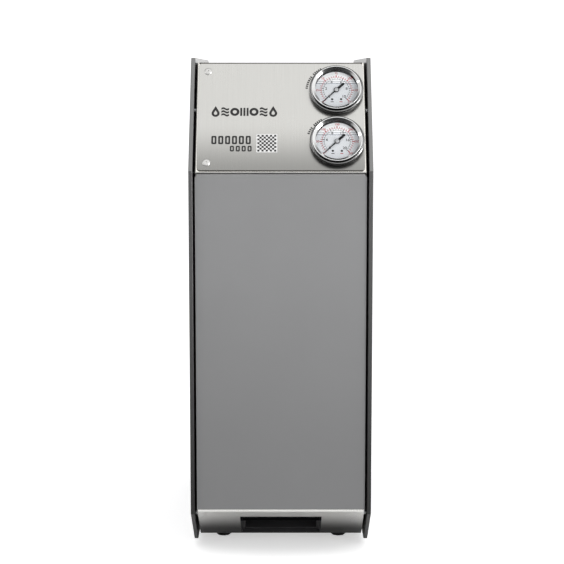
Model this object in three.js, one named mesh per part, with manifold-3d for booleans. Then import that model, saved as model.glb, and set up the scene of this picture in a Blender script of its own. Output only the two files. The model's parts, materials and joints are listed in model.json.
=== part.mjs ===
// Tall narrow reverse osmosis water purifier: a folded sheet cabinet between two thick side plates, with a
// tilted control face that carries two pressure gauges, a front door hinged under it, two prefilter
// cartridges, three membrane housings, a pump with its motor, valves, and the ports on the rear panel.
//
// Units are millimetres. X runs across the cabinet, the front faces -Y and Z is up. The origin is on the
// floor, under the middle of the whole object.

import * as THREE from "three";
import { mergeVertices } from "three/addons/utils/BufferGeometryUtils.js";
import Module from "manifold-3d";

const wasm = await Module();
wasm.setup();

// ---------------------------------------------------------------- driving dimensions

const OVERALL_WIDTH = 222;
const PLATE_TOP_Z = 619;
const PLATE_TIP_Z = 7;
const PLATE_FRONT_Y = -240;
const PLATE_BACK_Y = 205;
const PLATE_THICKNESS = 5;
const PLATE_CORNER_RADIUS = 8;
const UPPER_BEND_Z = 484; // where the plates' front edge starts to lean back
const CONTROL_RUN = 82.5; // how far back it leans by the top
const LOWER_BEND_Z = 62; // where the front edge starts to run back under the cabinet
const UNDERCUT_RUN = 80; // how far back it runs by the tip

const SHADOW_GAP = 2.6; // between a side plate and the cabinet
const FACE_INSET = 4; // the cabinet's front stands this far inside the plates' edge
const WALL_INSET = 8; // the side walls' front edge, behind the door
const PAN_INSET = 6.6; // the base pan's front edge, just behind the door's lower edge
const SHEET = 1.5;
const BODY_BOTTOM_Z = 16.5;
const BODY_TOP_Z = 613;
const REAR_Y = 200; // outer face of the rear panel

const LAP_GAP = 0.3; // between pieces that rest on each other
const RUNNING_GAP = 0.1; // radial, between a shaft and its bore

// Door and hinge
const DOOR_SKIN = 1;
const DOOR_TRAY = 1.2;
const TRAY_SIDE_STEP = 0.9; // the tray is this much narrower than its skin, on each side
const HINGE_RADIUS = 4.5; // outside of the rolled top edge
const HINGE_DROP = 6.9; // hinge axis below the control face's lower bend
const ROD_RADIUS = 1.2;
const KNUCKLE_RADIUS = 2.2;
const KNUCKLE_WIDTH = 12;
const KNUCKLE_PITCH = 80;
const RAIL_TOP_Z = 468;
const RAIL_HEIGHT = 28;
const RAIL_Y = -222;

// Grip cup in the undercut face, measured down that face from the bend: a shallow recess with a finger slot
// along its top and a deeper pocket below
const GRIP_WIDTH = 101;
const GRIP_TOP = 20;
const GRIP_BOTTOM = 81;
const RECESS_DEPTH = 3.5;
const SLOT_HEIGHT = 12;
const SLOT_DEPTH = 14;
const POCKET_WIDTH = 90;
const POCKET_TOP = 45;
const POCKET_BOTTOM = 72;
const POCKET_DEPTH = 22;
const CUP_WALL = 1.5;
const CUP_FLANGE = 2;

// Control face: heights are measured up the face from its lower bend
const CONTROL_PLATE_INSET = 2.3;
const CONTROL_PLATE_LIFT = 1.2; // bare margin under the plate
const CONTROL_PLATE_RADIUS = 4;
const GAUGE_X = 68;
const GAUGE_HEIGHTS = [38.8, 110.4];
const SCREW_X = -89.5;
const SCREW_HEIGHTS = [11.5, 138.6];
const SCREW_HEAD_RADIUS = 4.4;
const SCREW_SHANK_RADIUS = 2;

// Gauges of the 63 mm class
const CASE_RADIUS = 31.5;
const CASE_DEPTH = 28;
const STEM_LENGTH = 14;
const BEZEL_RADIUS = 33.75;
const BEZEL_BACK_RADIUS = 32.4;
const CREST_RADIUS = 29.8;
const DIAL_RADIUS = 26.2; // what shows inside the bezel
const POINTER_LENGTH = 23.7;
const POINTER_TAIL = 13.3;
const POINTER_REST = THREE.MathUtils.degToRad(135); // turned left from upright, on the scale's zero

// Feet and spacers
const FOOT_RADIUS = 9.5;
const FOOT_X = 75;
const FOOT_YS = [-115, 165];
const SPACER_RADIUS = 3;
const SPACER_INSET = 12.5; // spacer centres, inside the plates' front edge
const UPPER_SPACER_HEIGHT = 84;
const LOWER_SPACER_DROP = 14;

// Prefilters
const FILTER_X = 49;
const FILTER_Y = -172;
const CARTRIDGE_RADIUS = 38;
const CARTRIDGE_BOTTOM_Z = 165;
const CARTRIDGE_TOP_Z = 412;
const NECK_RADIUS = 30;
const LUG_RADIUS = 34;
const HEAD_RADIUS = 42;
const SHELF_Z = 462;

// Membrane housings
const MEMBRANE_RADIUS = 42;
const MEMBRANE_CAP_RADIUS = 44;
const MEMBRANE_BOTTOM_Z = 180;
const MEMBRANE_TOP_Z = 510;
const MEMBRANES = { membrane_left: [-50, -78], membrane_right: [50, -78], membrane_rear: [0, 12] };

// Motor and pump, on one shaft along Y
const MOTOR_Z = 84;
const MOTOR_RADIUS = 56;
const MOTOR_WALL = 6;
const MOTOR_FRONT_Y = -50;
const MOTOR_REAR_Y = 130;
const SHAFT_RADIUS = 8;
const PUMP_RADIUS = 38;
const PUMP_FRONT_Y = -115;

// Valves
const VALVE_X = 58;
const INLET_VALVE_Y = 150;
const INLET_VALVE_Z = 196;
const PLUNGER_RADIUS = 7;
const REJECT_VALVE_Z = 208;
const KNOB_RADIUS = 15;

// Rear ports: outer radius of the thread and radius of the bore
const PORT_Z = 70;
const PORTS = {
  feed_port: { x: -VALVE_X, radius: 13.2, bore: 9 },
  permeate_port: { x: 0, radius: 10.5, bore: 7 },
  drain_port: { x: VALVE_X, radius: 10.5, bore: 7 },
};
const HOSE_RADIUS = 8;
const HOSE_BORE = 5.5;

// Power inlet and switch
const POWER_X = -42;
const POWER_Z = 560;
const SWITCH_X = 14;
const ROCKER_REST = THREE.MathUtils.degToRad(10);

// Roundness of turned pieces
const FINE = 30;
const ROUND = 20;
const SMALL = 12;

const FINISHES = {
  brushed_steel: { color: 0xc8c9c5, roughness: 0.34, metalness: 1 },
  grey_panel: { color: 0x8b8e95, roughness: 0.5, metalness: 0.35 },
  graphite: { color: 0x3a3b3c, roughness: 0.55, metalness: 0.2 },
  black_plastic: { color: 0x1b1c1e, roughness: 0.6, metalness: 0 },
  black_rubber: { color: 0x141414, roughness: 0.85, metalness: 0 },
  chrome: { color: 0xd9dadb, roughness: 0.08, metalness: 1 },
  zinc: { color: 0xa9abad, roughness: 0.4, metalness: 0.9 },
  dial_white: { color: 0xeceae6, roughness: 0.6, metalness: 0 },
  clear_glass: { color: 0xf4f6f7, roughness: 0.05, metalness: 0, transparent: true, opacity: 0.35 },
  pointer_black: { color: 0x101010, roughness: 0.45, metalness: 0 },
  white_plastic: { color: 0xe6e7e8, roughness: 0.45, metalness: 0 },
  blue_plastic: { color: 0x2f6fa8, roughness: 0.45, metalness: 0 },
  motor_paint: { color: 0x3c4a57, roughness: 0.5, metalness: 0.1 },
  brass: { color: 0xb8924a, roughness: 0.35, metalness: 1 },
};

// ---------------------------------------------------------------- derived places

const PLATE_INNER_X = OVERALL_WIDTH / 2 - PLATE_THICKNESS;
const BODY_X = PLATE_INNER_X - SHADOW_GAP;
const WALL_INNER_X = BODY_X - SHEET;
const TRAY_X = BODY_X - TRAY_SIDE_STEP;
const CONTROL_ANGLE = Math.atan2(PLATE_TOP_Z - UPPER_BEND_Z, CONTROL_RUN);
const UNDERCUT_ANGLE = Math.atan2(LOWER_BEND_Z - PLATE_TIP_Z, UNDERCUT_RUN);
const FACE_Y = PLATE_FRONT_Y + FACE_INSET;

// The front edge follows the plates' edge at a distance inside it, so each bend moves along its bisector.
function upperBendZ(inset) {
  return UPPER_BEND_Z - (inset * (1 - Math.sin(CONTROL_ANGLE))) / Math.cos(CONTROL_ANGLE);
}

function lowerBendZ(inset) {
  return LOWER_BEND_Z + (inset * (1 - Math.sin(UNDERCUT_ANGLE))) / Math.cos(UNDERCUT_ANGLE);
}

function slopeYAt(inset, z) {
  return PLATE_FRONT_Y + inset + (z - upperBendZ(inset)) / Math.tan(CONTROL_ANGLE);
}

function undercutYAt(inset, z) {
  return PLATE_FRONT_Y + inset + (lowerBendZ(inset) - z) / Math.tan(UNDERCUT_ANGLE);
}

function undercutZAt(inset, y) {
  return lowerBendZ(inset) - (y - PLATE_FRONT_Y - inset) * Math.tan(UNDERCUT_ANGLE);
}

const CONTROL_BEND_Z = upperBendZ(FACE_INSET);
const CONTROL_LENGTH = (BODY_TOP_Z - CONTROL_BEND_Z) / Math.sin(CONTROL_ANGLE);
const HINGE = new THREE.Vector2(FACE_Y + HINGE_RADIUS, CONTROL_BEND_Z - HINGE_DROP);

// ---------------------------------------------------------------- solids

function signedVolume(positions, triangles) {
  const corners = [new THREE.Vector3(), new THREE.Vector3(), new THREE.Vector3()];
  let total = 0;
  for (let first = 0; first < triangles.length; first += 3) {
    corners.forEach((corner, place) => corner.fromArray(positions, 3 * triangles[first + place]));
    total += corners[0].dot(corners[1].clone().cross(corners[2]));
  }
  return total / 6;
}

// Turns a closed three.js geometry into a manifold solid whose faces point outward.
function solid(geometry) {
  const bare = geometry.clone();
  bare.deleteAttribute("normal");
  bare.deleteAttribute("uv");
  const merged = mergeVertices(bare, 1e-3);
  const positions = new Float32Array(merged.attributes.position.array);
  const triangles = [];
  for (let first = 0; first < merged.index.count; first += 3) {
    const [a, b, c] = merged.index.array.slice(first, first + 3);
    if (a !== b && b !== c && c !== a) {
      triangles.push(a, b, c);
    }
  }
  if (signedVolume(positions, triangles) < 0) {
    triangles.reverse();
  }
  return new wasm.Manifold(
    new wasm.Mesh({ numProp: 3, vertProperties: positions, triVerts: new Uint32Array(triangles) })
  );
}

function joined(...solids) {
  return solids.reduce((whole, next) => whole.add(next));
}

function block(x0, x1, y0, y1, z0, z1) {
  const geometry = new THREE.BoxGeometry(x1 - x0, y1 - y0, z1 - z0);
  geometry.translate((x0 + x1) / 2, (y0 + y1) / 2, (z0 + z1) / 2);
  return solid(geometry);
}

function bar(start, end, radius, segments = ROUND) {
  const from = new THREE.Vector3(...start);
  const to = new THREE.Vector3(...end);
  const along = to.clone().sub(from);
  const geometry = new THREE.CylinderGeometry(radius, radius, along.length(), segments);
  const turn = new THREE.Quaternion().setFromUnitVectors(new THREE.Vector3(0, 1, 0), along.clone().normalize());
  geometry.applyQuaternion(turn);
  geometry.translate(...from.lerp(to, 0.5).toArray());
  return solid(geometry);
}

// A turned piece about the Z axis from [radius, z] points that start and end on the axis, or close up.
function turned(profile, segments = ROUND) {
  const points = profile.map(([radius, z]) => new THREE.Vector2(radius, z));
  const geometry = new THREE.LatheGeometry(points, segments);
  geometry.rotateX(Math.PI / 2);
  return solid(geometry);
}

function closed(profile) {
  return [...profile, profile[0]];
}

// An outline of [y, z] points, carried across X. Corners listed in `rounds` get that radius.
function acrossX(outline, x0, x1, rounds = {}) {
  const shape = new THREE.Shape();
  const points = outline.map(([y, z]) => new THREE.Vector2(y, z));
  points.forEach((corner, index) => {
    const before = points[(index + points.length - 1) % points.length];
    const after = points[(index + 1) % points.length];
    const radius = rounds[index] ?? 0;
    const half = corner.clone().sub(before).angleTo(after.clone().sub(corner)) / 2;
    const reach = radius * Math.tan(half);
    const enter = corner.clone().add(before.clone().sub(corner).setLength(reach));
    const leave = corner.clone().add(after.clone().sub(corner).setLength(reach));
    if (index === 0) {
      shape.moveTo(enter.x, enter.y);
    } else {
      shape.lineTo(enter.x, enter.y);
    }
    if (radius > 0) {
      shape.quadraticCurveTo(corner.x, corner.y, leave.x, leave.y);
    }
  });
  return extrudedAcross(shape, x0, x1);
}

function extrudedAcross(shape, x0, x1) {
  const geometry = new THREE.ExtrudeGeometry(shape, { depth: x1 - x0, bevelEnabled: false, curveSegments: 6 });
  const across = new THREE.Matrix4().makeBasis(
    new THREE.Vector3(0, 1, 0),
    new THREE.Vector3(0, 0, 1),
    new THREE.Vector3(1, 0, 0)
  );
  geometry.applyMatrix4(across);
  geometry.translate(x0, 0, 0);
  return solid(geometry);
}

function roundedRectangle(x0, x1, y0, y1, radius) {
  const shape = new THREE.Shape();
  shape.absarc(x1 - radius, y1 - radius, radius, 0, Math.PI / 2);
  shape.absarc(x0 + radius, y1 - radius, radius, Math.PI / 2, Math.PI);
  shape.absarc(x0 + radius, y0 + radius, radius, Math.PI, (3 * Math.PI) / 2);
  shape.absarc(x1 - radius, y0 + radius, radius, (3 * Math.PI) / 2, 2 * Math.PI);
  return shape;
}

function plateOf(shape, z0, z1, curveSegments = 6) {
  const geometry = new THREE.ExtrudeGeometry(shape, { depth: z1 - z0, bevelEnabled: false, curveSegments });
  geometry.translate(0, 0, z0);
  return solid(geometry);
}

function hose(points, radius, bore) {
  const ring = new THREE.Shape().absarc(0, 0, radius, 0, 2 * Math.PI);
  ring.holes.push(new THREE.Path().absarc(0, 0, bore, 0, 2 * Math.PI, true));
  const path = new THREE.CatmullRomCurve3(points.map((point) => new THREE.Vector3(...point)));
  const geometry = new THREE.ExtrudeGeometry(ring, { extrudePath: path, steps: 12, curveSegments: 5 });
  return solid(geometry);
}

function addPiece(parent, name, shape, finish) {
  const cut = shape.getMesh();
  const geometry = new THREE.BufferGeometry();
  geometry.setAttribute("position", new THREE.BufferAttribute(cut.vertProperties, cut.numProp));
  geometry.setIndex(new THREE.BufferAttribute(cut.triVerts, 1));
  const flat = geometry.toNonIndexed();
  flat.computeVertexNormals();
  const mesh = new THREE.Mesh(flat, new THREE.MeshStandardMaterial(FINISHES[finish]));
  mesh.name = name;
  parent.add(mesh);
}

// ---------------------------------------------------------------- cabinet

function sidePlateOutline() {
  return [
    [PLATE_BACK_Y, PLATE_TIP_Z],
    [undercutYAt(0, PLATE_TIP_Z), PLATE_TIP_Z],
    [PLATE_FRONT_Y, LOWER_BEND_Z],
    [PLATE_FRONT_Y, UPPER_BEND_Z],
    [slopeYAt(0, PLATE_TOP_Z), PLATE_TOP_Z],
    [PLATE_BACK_Y, PLATE_TOP_Z],
  ];
}

function addSidePlates(unit) {
  const rounds = { 0: PLATE_CORNER_RADIUS, 1: PLATE_CORNER_RADIUS, 2: 2, 3: 2, 4: 1, 5: 2 };
  const outline = sidePlateOutline();
  addPiece(unit, "left_side_plate", acrossX(outline, -OVERALL_WIDTH / 2, -PLATE_INNER_X, rounds), "graphite");
  addPiece(unit, "right_side_plate", acrossX(outline, PLATE_INNER_X, OVERALL_WIDTH / 2, rounds), "graphite");
}

function spacerPlaces() {
  const upperZ = CONTROL_BEND_Z + UPPER_SPACER_HEIGHT * Math.sin(CONTROL_ANGLE);
  const lowerZ = lowerBendZ(FACE_INSET) - LOWER_SPACER_DROP * Math.sin(UNDERCUT_ANGLE);
  return {
    upper: [slopeYAt(SPACER_INSET, upperZ), upperZ],
    lower: [undercutYAt(SPACER_INSET, lowerZ), lowerZ],
  };
}

function addSpacers(unit) {
  for (const [height, [y, z]] of Object.entries(spacerPlaces())) {
    for (const [side, sign] of [["left", -1], ["right", 1]]) {
      const inner = sign * (BODY_X + LAP_GAP / 2);
      const outer = sign * (PLATE_INNER_X - LAP_GAP / 2);
      addPiece(unit, `spacer_${side}_${height}`, bar([inner, y, z], [outer, y, z], SPACER_RADIUS, SMALL), "zinc");
    }
  }
}

// Side walls, with two welded studs at the back that carry the side plates and a relief round the hinge.
function addWalls(unit) {
  const bottom = BODY_BOTTOM_Z + SHEET + LAP_GAP;
  const top = BODY_TOP_Z - SHEET - LAP_GAP;
  const back = REAR_Y - SHEET - LAP_GAP;
  const outline = [
    [back, bottom],
    [undercutYAt(WALL_INSET, bottom), bottom],
    [PLATE_FRONT_Y + WALL_INSET, lowerBendZ(WALL_INSET)],
    [PLATE_FRONT_Y + WALL_INSET, upperBendZ(WALL_INSET)],
    [slopeYAt(WALL_INSET, top), top],
    [back, top],
  ];
  const relief = HINGE_RADIUS + 0.9;
  for (const [name, sign] of [["left_wall", -1], ["right_wall", 1]]) {
    const [x0, x1] = sign < 0 ? [-BODY_X, -WALL_INNER_X] : [WALL_INNER_X, BODY_X];
    let wall = acrossX(outline, x0, x1);
    for (const z of [90, 560]) {
      const root = sign * (BODY_X - SHEET / 2);
      const tip = sign * (PLATE_INNER_X - LAP_GAP / 2);
      wall = wall.add(bar([root, 180, z], [tip, 180, z], SPACER_RADIUS, SMALL));
    }
    wall = wall.subtract(bar([x0 - 1, HINGE.x, HINGE.y], [x1 + 1, HINGE.x, HINGE.y], relief, SMALL));
    addPiece(unit, name, wall, "brushed_steel");
  }
}

function addBasePan(unit) {
  const front = undercutYAt(PAN_INSET, BODY_BOTTOM_Z);
  const back = REAR_Y - SHEET - LAP_GAP;
  const lipTop = BODY_BOTTOM_Z + 14;
  const lipX = WALL_INNER_X - LAP_GAP;
  const pan = joined(
    block(-BODY_X, BODY_X, front, back, BODY_BOTTOM_Z, BODY_BOTTOM_Z + SHEET),
    block(-lipX, lipX, front, front + SHEET, BODY_BOTTOM_Z, lipTop),
    block(-lipX, -lipX + SHEET, front, back, BODY_BOTTOM_Z, lipTop),
    block(lipX - SHEET, lipX, front, back, BODY_BOTTOM_Z, lipTop)
  );
  addPiece(unit, "base_pan", pan, "brushed_steel");
}

function addTopCover(unit) {
  const front = slopeYAt(FACE_INSET, BODY_TOP_Z) + 2.5;
  const lipX = WALL_INNER_X - LAP_GAP;
  const lipZ = BODY_TOP_Z - 12;
  const cover = joined(
    block(-BODY_X, BODY_X, front, REAR_Y, BODY_TOP_Z - SHEET, BODY_TOP_Z),
    block(-lipX, -lipX + SHEET, front + 6, REAR_Y - 5, lipZ, BODY_TOP_Z),
    block(lipX - SHEET, lipX, front + 6, REAR_Y - 5, lipZ, BODY_TOP_Z)
  );
  addPiece(unit, "top_cover", cover, "brushed_steel");
}

function addRearPanel(unit) {
  const inner = REAR_Y - SHEET;
  let panel = block(-BODY_X, BODY_X, inner, REAR_Y, BODY_BOTTOM_Z, BODY_TOP_Z - SHEET - LAP_GAP);
  for (const { x, radius } of Object.values(PORTS)) {
    panel = panel.subtract(bar([x, inner - 1, PORT_Z], [x, REAR_Y + 1, PORT_Z], radius + LAP_GAP, ROUND));
  }
  panel = panel.subtract(
    bar([VALVE_X, inner - 1, REJECT_VALVE_Z], [VALVE_X, REAR_Y + 1, REJECT_VALVE_Z], 5, SMALL)
  );
  panel = panel.subtract(block(POWER_X - 14.5, POWER_X + 14.5, inner - 1, REAR_Y + 1, POWER_Z - 10.5, POWER_Z + 10.5));
  panel = panel.subtract(block(SWITCH_X - 10, SWITCH_X + 10, inner - 1, REAR_Y + 1, POWER_Z - 14, POWER_Z + 14));
  addPiece(unit, "rear_panel", panel, "brushed_steel");
}

function addFeet(unit) {
  const top = BODY_BOTTOM_Z - LAP_GAP;
  const profile = [[0, 0], [FOOT_RADIUS - 1, 0], [FOOT_RADIUS, 1.5], [FOOT_RADIUS + 0.8, top], [0, top]];
  for (const [end, y] of [["front", FOOT_YS[0]], ["rear", FOOT_YS[1]]]) {
    for (const [side, x] of [["left", -FOOT_X], ["right", FOOT_X]]) {
      addPiece(unit, `${end}_${side}_foot`, turned(profile).translate([x, y, 0]), "black_rubber");
    }
  }
}

// ---------------------------------------------------------------- door

function knuckleCentres() {
  return [-KNUCKLE_PITCH, 0, KNUCKLE_PITCH];
}

function hingeBar(x0, x1, radius) {
  return bar([x0, HINGE.x, HINGE.y], [x1, HINGE.x, HINGE.y], radius, SMALL);
}

function addDoorSkin(unit) {
  const bottom = lowerBendZ(FACE_INSET) + 2.6;
  const top = HINGE.y + 1.2;
  const skin = block(-BODY_X, BODY_X, FACE_Y, FACE_Y + DOOR_SKIN, bottom, top);
  addPiece(unit, "door_skin", skin, "grey_panel");
}

// The rolled top edge: part of a ring round the hinge axis.
function hingeRoll() {
  const shape = new THREE.Shape();
  const start = THREE.MathUtils.degToRad(76);
  const end = THREE.MathUtils.degToRad(160);
  shape.absarc(HINGE.x, HINGE.y, HINGE_RADIUS, start, end);
  shape.absarc(HINGE.x, HINGE.y, HINGE_RADIUS - DOOR_TRAY, end, start, true);
  return extrudedAcross(shape, -(WALL_INNER_X - 0.5), WALL_INNER_X - 0.5);
}

function trayUndercut() {
  const inner = FACE_INSET + DOOR_TRAY;
  const top = lowerBendZ(FACE_INSET) + 2.3;
  const back = FACE_Y + DOOR_SKIN + LAP_GAP + DOOR_TRAY;
  return acrossX(
    [
      [FACE_Y, top],
      [FACE_Y, lowerBendZ(FACE_INSET)],
      [undercutYAt(FACE_INSET, BODY_BOTTOM_Z), BODY_BOTTOM_Z],
      [undercutYAt(inner, BODY_BOTTOM_Z), BODY_BOTTOM_Z],
      [back, undercutZAt(inner, back)],
      [back, top],
    ],
    -TRAY_X,
    TRAY_X
  );
}

function addDoorTray(unit) {
  const sheetFront = FACE_Y + DOOR_SKIN + LAP_GAP;
  const sheetBack = sheetFront + DOOR_TRAY;
  const sheetTop = HINGE.y + 2;
  const flangeX = WALL_INNER_X - 1.5;
  let tray = joined(
    block(-TRAY_X, TRAY_X, sheetFront, sheetBack, lowerBendZ(FACE_INSET) + 1, sheetTop),
    hingeRoll(),
    trayUndercut()
  );
  for (const sign of [-1, 1]) {
    const [x0, x1] = sign < 0 ? [-flangeX, -flangeX + DOOR_TRAY] : [flangeX - DOOR_TRAY, flangeX];
    tray = tray.add(block(x0, x1, sheetBack - 0.5, sheetBack + 10, 80, RAIL_TOP_Z - 4));
  }
  tray = tray.subtract(hingeBar(-BODY_X, BODY_X, KNUCKLE_RADIUS + 0.5));
  const reliefX = WALL_INNER_X - 0.5;
  for (const sign of [-1, 1]) {
    const [x0, x1] = sign < 0 ? [-BODY_X, -reliefX] : [reliefX, BODY_X];
    tray = tray.subtract(block(x0, x1, sheetFront - 2, HINGE.x + HINGE_RADIUS, HINGE.y - 3, HINGE.y + 6));
  }
  for (const centre of knuckleCentres()) {
    for (const sign of [-1, 1]) {
      const inner = centre + sign * (KNUCKLE_WIDTH / 2 + 0.5);
      const outer = inner + sign * (KNUCKLE_WIDTH - 2);
      const [x0, x1] = [Math.min(inner, outer), Math.max(inner, outer)];
      const web = block(x0, x1, sheetFront + 0.2, HINGE.x, HINGE.y - KNUCKLE_RADIUS, HINGE.y + 1);
      tray = joined(tray, hingeBar(x0, x1, KNUCKLE_RADIUS), web);
    }
  }
  tray = tray.subtract(hingeBar(-BODY_X, BODY_X, ROD_RADIUS + RUNNING_GAP));
  const opening = LAP_GAP + GRIP_WIDTH / 2;
  const window = block(-opening, opening, -GRIP_BOTTOM - LAP_GAP, -GRIP_TOP + LAP_GAP, -5, 5);
  tray = tray.subtract(window.transform(undercutFrame().toArray()));
  addPiece(unit, "door_tray", tray, "brushed_steel");
}

// The frame of the undercut face: X across, Y up the face to its bend, Z out of it.
function undercutFrame() {
  const turn = new THREE.Matrix4().makeRotationX(Math.PI - UNDERCUT_ANGLE);
  return turn.setPosition(0, FACE_Y, lowerBendZ(FACE_INSET));
}

function addGripCup(unit) {
  const half = GRIP_WIDTH / 2;
  const inner = half - CUP_WALL;
  const flangeTop = -DOOR_TRAY - LAP_GAP;
  const pocketHalf = POCKET_WIDTH / 2;
  const top = -GRIP_TOP - CUP_WALL;
  const bottom = -GRIP_BOTTOM + CUP_WALL;
  const body = joined(
    block(-half, half, -GRIP_BOTTOM, -GRIP_TOP, -RECESS_DEPTH - CUP_WALL, 0),
    block(-half, half, top - SLOT_HEIGHT - CUP_WALL, -GRIP_TOP, -SLOT_DEPTH - CUP_WALL, 0),
    block(-half - CUP_FLANGE, half + CUP_FLANGE, -GRIP_BOTTOM, -GRIP_TOP + CUP_FLANGE, flangeTop - 1.5, flangeTop),
    block(
      -pocketHalf - CUP_WALL,
      pocketHalf + CUP_WALL,
      -POCKET_BOTTOM - CUP_WALL,
      -POCKET_TOP + CUP_WALL,
      -POCKET_DEPTH - CUP_WALL,
      -1
    )
  );
  const cup = body
    .subtract(block(-inner, inner, bottom, top, -RECESS_DEPTH, 1))
    .subtract(block(-inner, inner, top - SLOT_HEIGHT, top, -SLOT_DEPTH, 1))
    .subtract(block(-pocketHalf, pocketHalf, -POCKET_BOTTOM, -POCKET_TOP, -POCKET_DEPTH, 1));
  const holder = new THREE.Group();
  holder.applyMatrix4(undercutFrame());
  addPiece(holder, "grip_cup", cup, "black_plastic");
  unit.add(holder);
}

function addHingeRail(unit) {
  const railX = WALL_INNER_X - LAP_GAP;
  const bottom = RAIL_TOP_Z - RAIL_HEIGHT;
  let rail = joined(
    block(-railX, railX, RAIL_Y, RAIL_Y + 2, bottom, RAIL_TOP_Z),
    block(-railX, -railX + SHEET, RAIL_Y, RAIL_Y + 14, bottom, RAIL_TOP_Z),
    block(railX - SHEET, railX, RAIL_Y, RAIL_Y + 14, bottom, RAIL_TOP_Z)
  );
  for (const centre of knuckleCentres()) {
    const [x0, x1] = [centre - KNUCKLE_WIDTH / 2, centre + KNUCKLE_WIDTH / 2];
    const arm = acrossX(
      [
        [HINGE.x + 0.4, HINGE.y - 1.8],
        [RAIL_Y, RAIL_TOP_Z - 6],
        [RAIL_Y + 1.5, RAIL_TOP_Z - 6],
        [RAIL_Y + 1.5, RAIL_TOP_Z - 2],
        [HINGE.x + 1.8, HINGE.y - 0.4],
      ],
      x0,
      x1
    );
    rail = joined(rail, arm, hingeBar(x0, x1, KNUCKLE_RADIUS));
  }
  rail = rail.subtract(hingeBar(-BODY_X, BODY_X, ROD_RADIUS + RUNNING_GAP));
  addPiece(unit, "hinge_rail", rail, "brushed_steel");
}

function addHingeRod(unit) {
  addPiece(unit, "hinge_rod", hingeBar(-WALL_INNER_X + 2, WALL_INNER_X - 2, ROD_RADIUS), "zinc");
}

// ---------------------------------------------------------------- control face

const PLATE_BACK = LAP_GAP; // heights out of the control face
const PLATE_FRONT = PLATE_BACK + SHEET;
const BEZEL_BACK = PLATE_FRONT + LAP_GAP;
const CASE_RIM = 3.5;
const DIAL_BACK = 3.8;
const DIAL_FRONT = 4.6;
const POINTER_BACK = 5.3;
const POINTER_FRONT = 6;
const WINDOW_BACK = 7;
const WINDOW_FRONT = 8;
const BEZEL_LIP = 8.3;
const BEZEL_FLARE = 4.6; // where the ring reaches its full width
const BEZEL_SHOULDER = 7;
const BEZEL_CREST = 12;
const INNER_RADIUS = DIAL_RADIUS + 1.1; // bezel bore round the dial and window

function bezelProfile() {
  const profile = [
    [CASE_RADIUS + LAP_GAP, BEZEL_BACK],
    [BEZEL_BACK_RADIUS, BEZEL_BACK],
    [BEZEL_RADIUS, BEZEL_FLARE],
  ];
  const steps = 3;
  for (let step = 0; step <= steps; step += 1) {
    const angle = (Math.PI * step) / (2 * steps);
    const radius = CREST_RADIUS + (BEZEL_RADIUS - CREST_RADIUS) * Math.cos(angle);
    profile.push([radius, BEZEL_SHOULDER + (BEZEL_CREST - BEZEL_SHOULDER) * Math.sin(angle)]);
  }
  for (let step = 1; step <= steps; step += 1) {
    const angle = (Math.PI * step) / (2 * steps);
    const radius = CREST_RADIUS - (CREST_RADIUS - DIAL_RADIUS) * Math.sin(angle);
    profile.push([radius, BEZEL_LIP + (BEZEL_CREST - BEZEL_LIP) * Math.cos(angle)]);
  }
  profile.push([INNER_RADIUS, BEZEL_LIP], [INNER_RADIUS, CASE_RIM + LAP_GAP]);
  profile.push([CASE_RADIUS + LAP_GAP, CASE_RIM + LAP_GAP]);
  return closed(profile);
}

function gaugeCase() {
  const cup = turned(
    [
      [0, -CASE_DEPTH],
      [CASE_RADIUS, -CASE_DEPTH],
      [CASE_RADIUS, CASE_RIM],
      [DIAL_RADIUS, CASE_RIM],
      [DIAL_RADIUS, -CASE_DEPTH + 6],
      [0, -CASE_DEPTH + 6],
    ],
    FINE
  );
  const hexagon = bar([0, 0, -CASE_DEPTH - 6], [0, 0, -CASE_DEPTH + 1], 9, 6);
  const stem = bar([0, 0, -CASE_DEPTH - STEM_LENGTH], [0, 0, -CASE_DEPTH], 6.5, SMALL);
  return joined(cup, hexagon, stem);
}

function gaugePointer() {
  const shape = new THREE.Shape();
  shape.moveTo(-0.35, POINTER_LENGTH);
  shape.lineTo(-1, 0);
  shape.lineTo(-2.1, -POINTER_TAIL);
  shape.lineTo(2.1, -POINTER_TAIL);
  shape.lineTo(1, 0);
  shape.lineTo(0.35, POINTER_LENGTH);
  const blade = plateOf(shape, POINTER_BACK, POINTER_FRONT);
  const hub = bar([0, 0, POINTER_BACK], [0, 0, POINTER_FRONT + 0.6], 3, SMALL);
  const arbor = bar([0, 0, -4], [0, 0, POINTER_BACK + 0.2], 0.9, SMALL);
  return joined(blade, hub, arbor).rotate([0, 0, THREE.MathUtils.radToDeg(POINTER_REST)]);
}

function addGauge(face, name, height) {
  const gauge = new THREE.Group();
  gauge.position.set(GAUGE_X, height, 0);
  const dial = bar([0, 0, DIAL_BACK], [0, 0, DIAL_FRONT], INNER_RADIUS - LAP_GAP, FINE);
  const arborHole = bar([0, 0, 0], [0, 0, DIAL_FRONT + 1], 1.3, SMALL);
  const glass = bar([0, 0, WINDOW_BACK], [0, 0, WINDOW_FRONT], INNER_RADIUS - LAP_GAP, FINE);
  addPiece(gauge, `${name}_case`, gaugeCase(), "chrome");
  addPiece(gauge, `${name}_bezel`, turned(bezelProfile(), FINE), "chrome");
  addPiece(gauge, `${name}_dial`, dial.subtract(arborHole), "dial_white");
  addPiece(gauge, `${name}_window`, glass, "clear_glass");
  addPiece(gauge, `${name}_needle`, gaugePointer(), "pointer_black");
  face.add(gauge);
}

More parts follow.
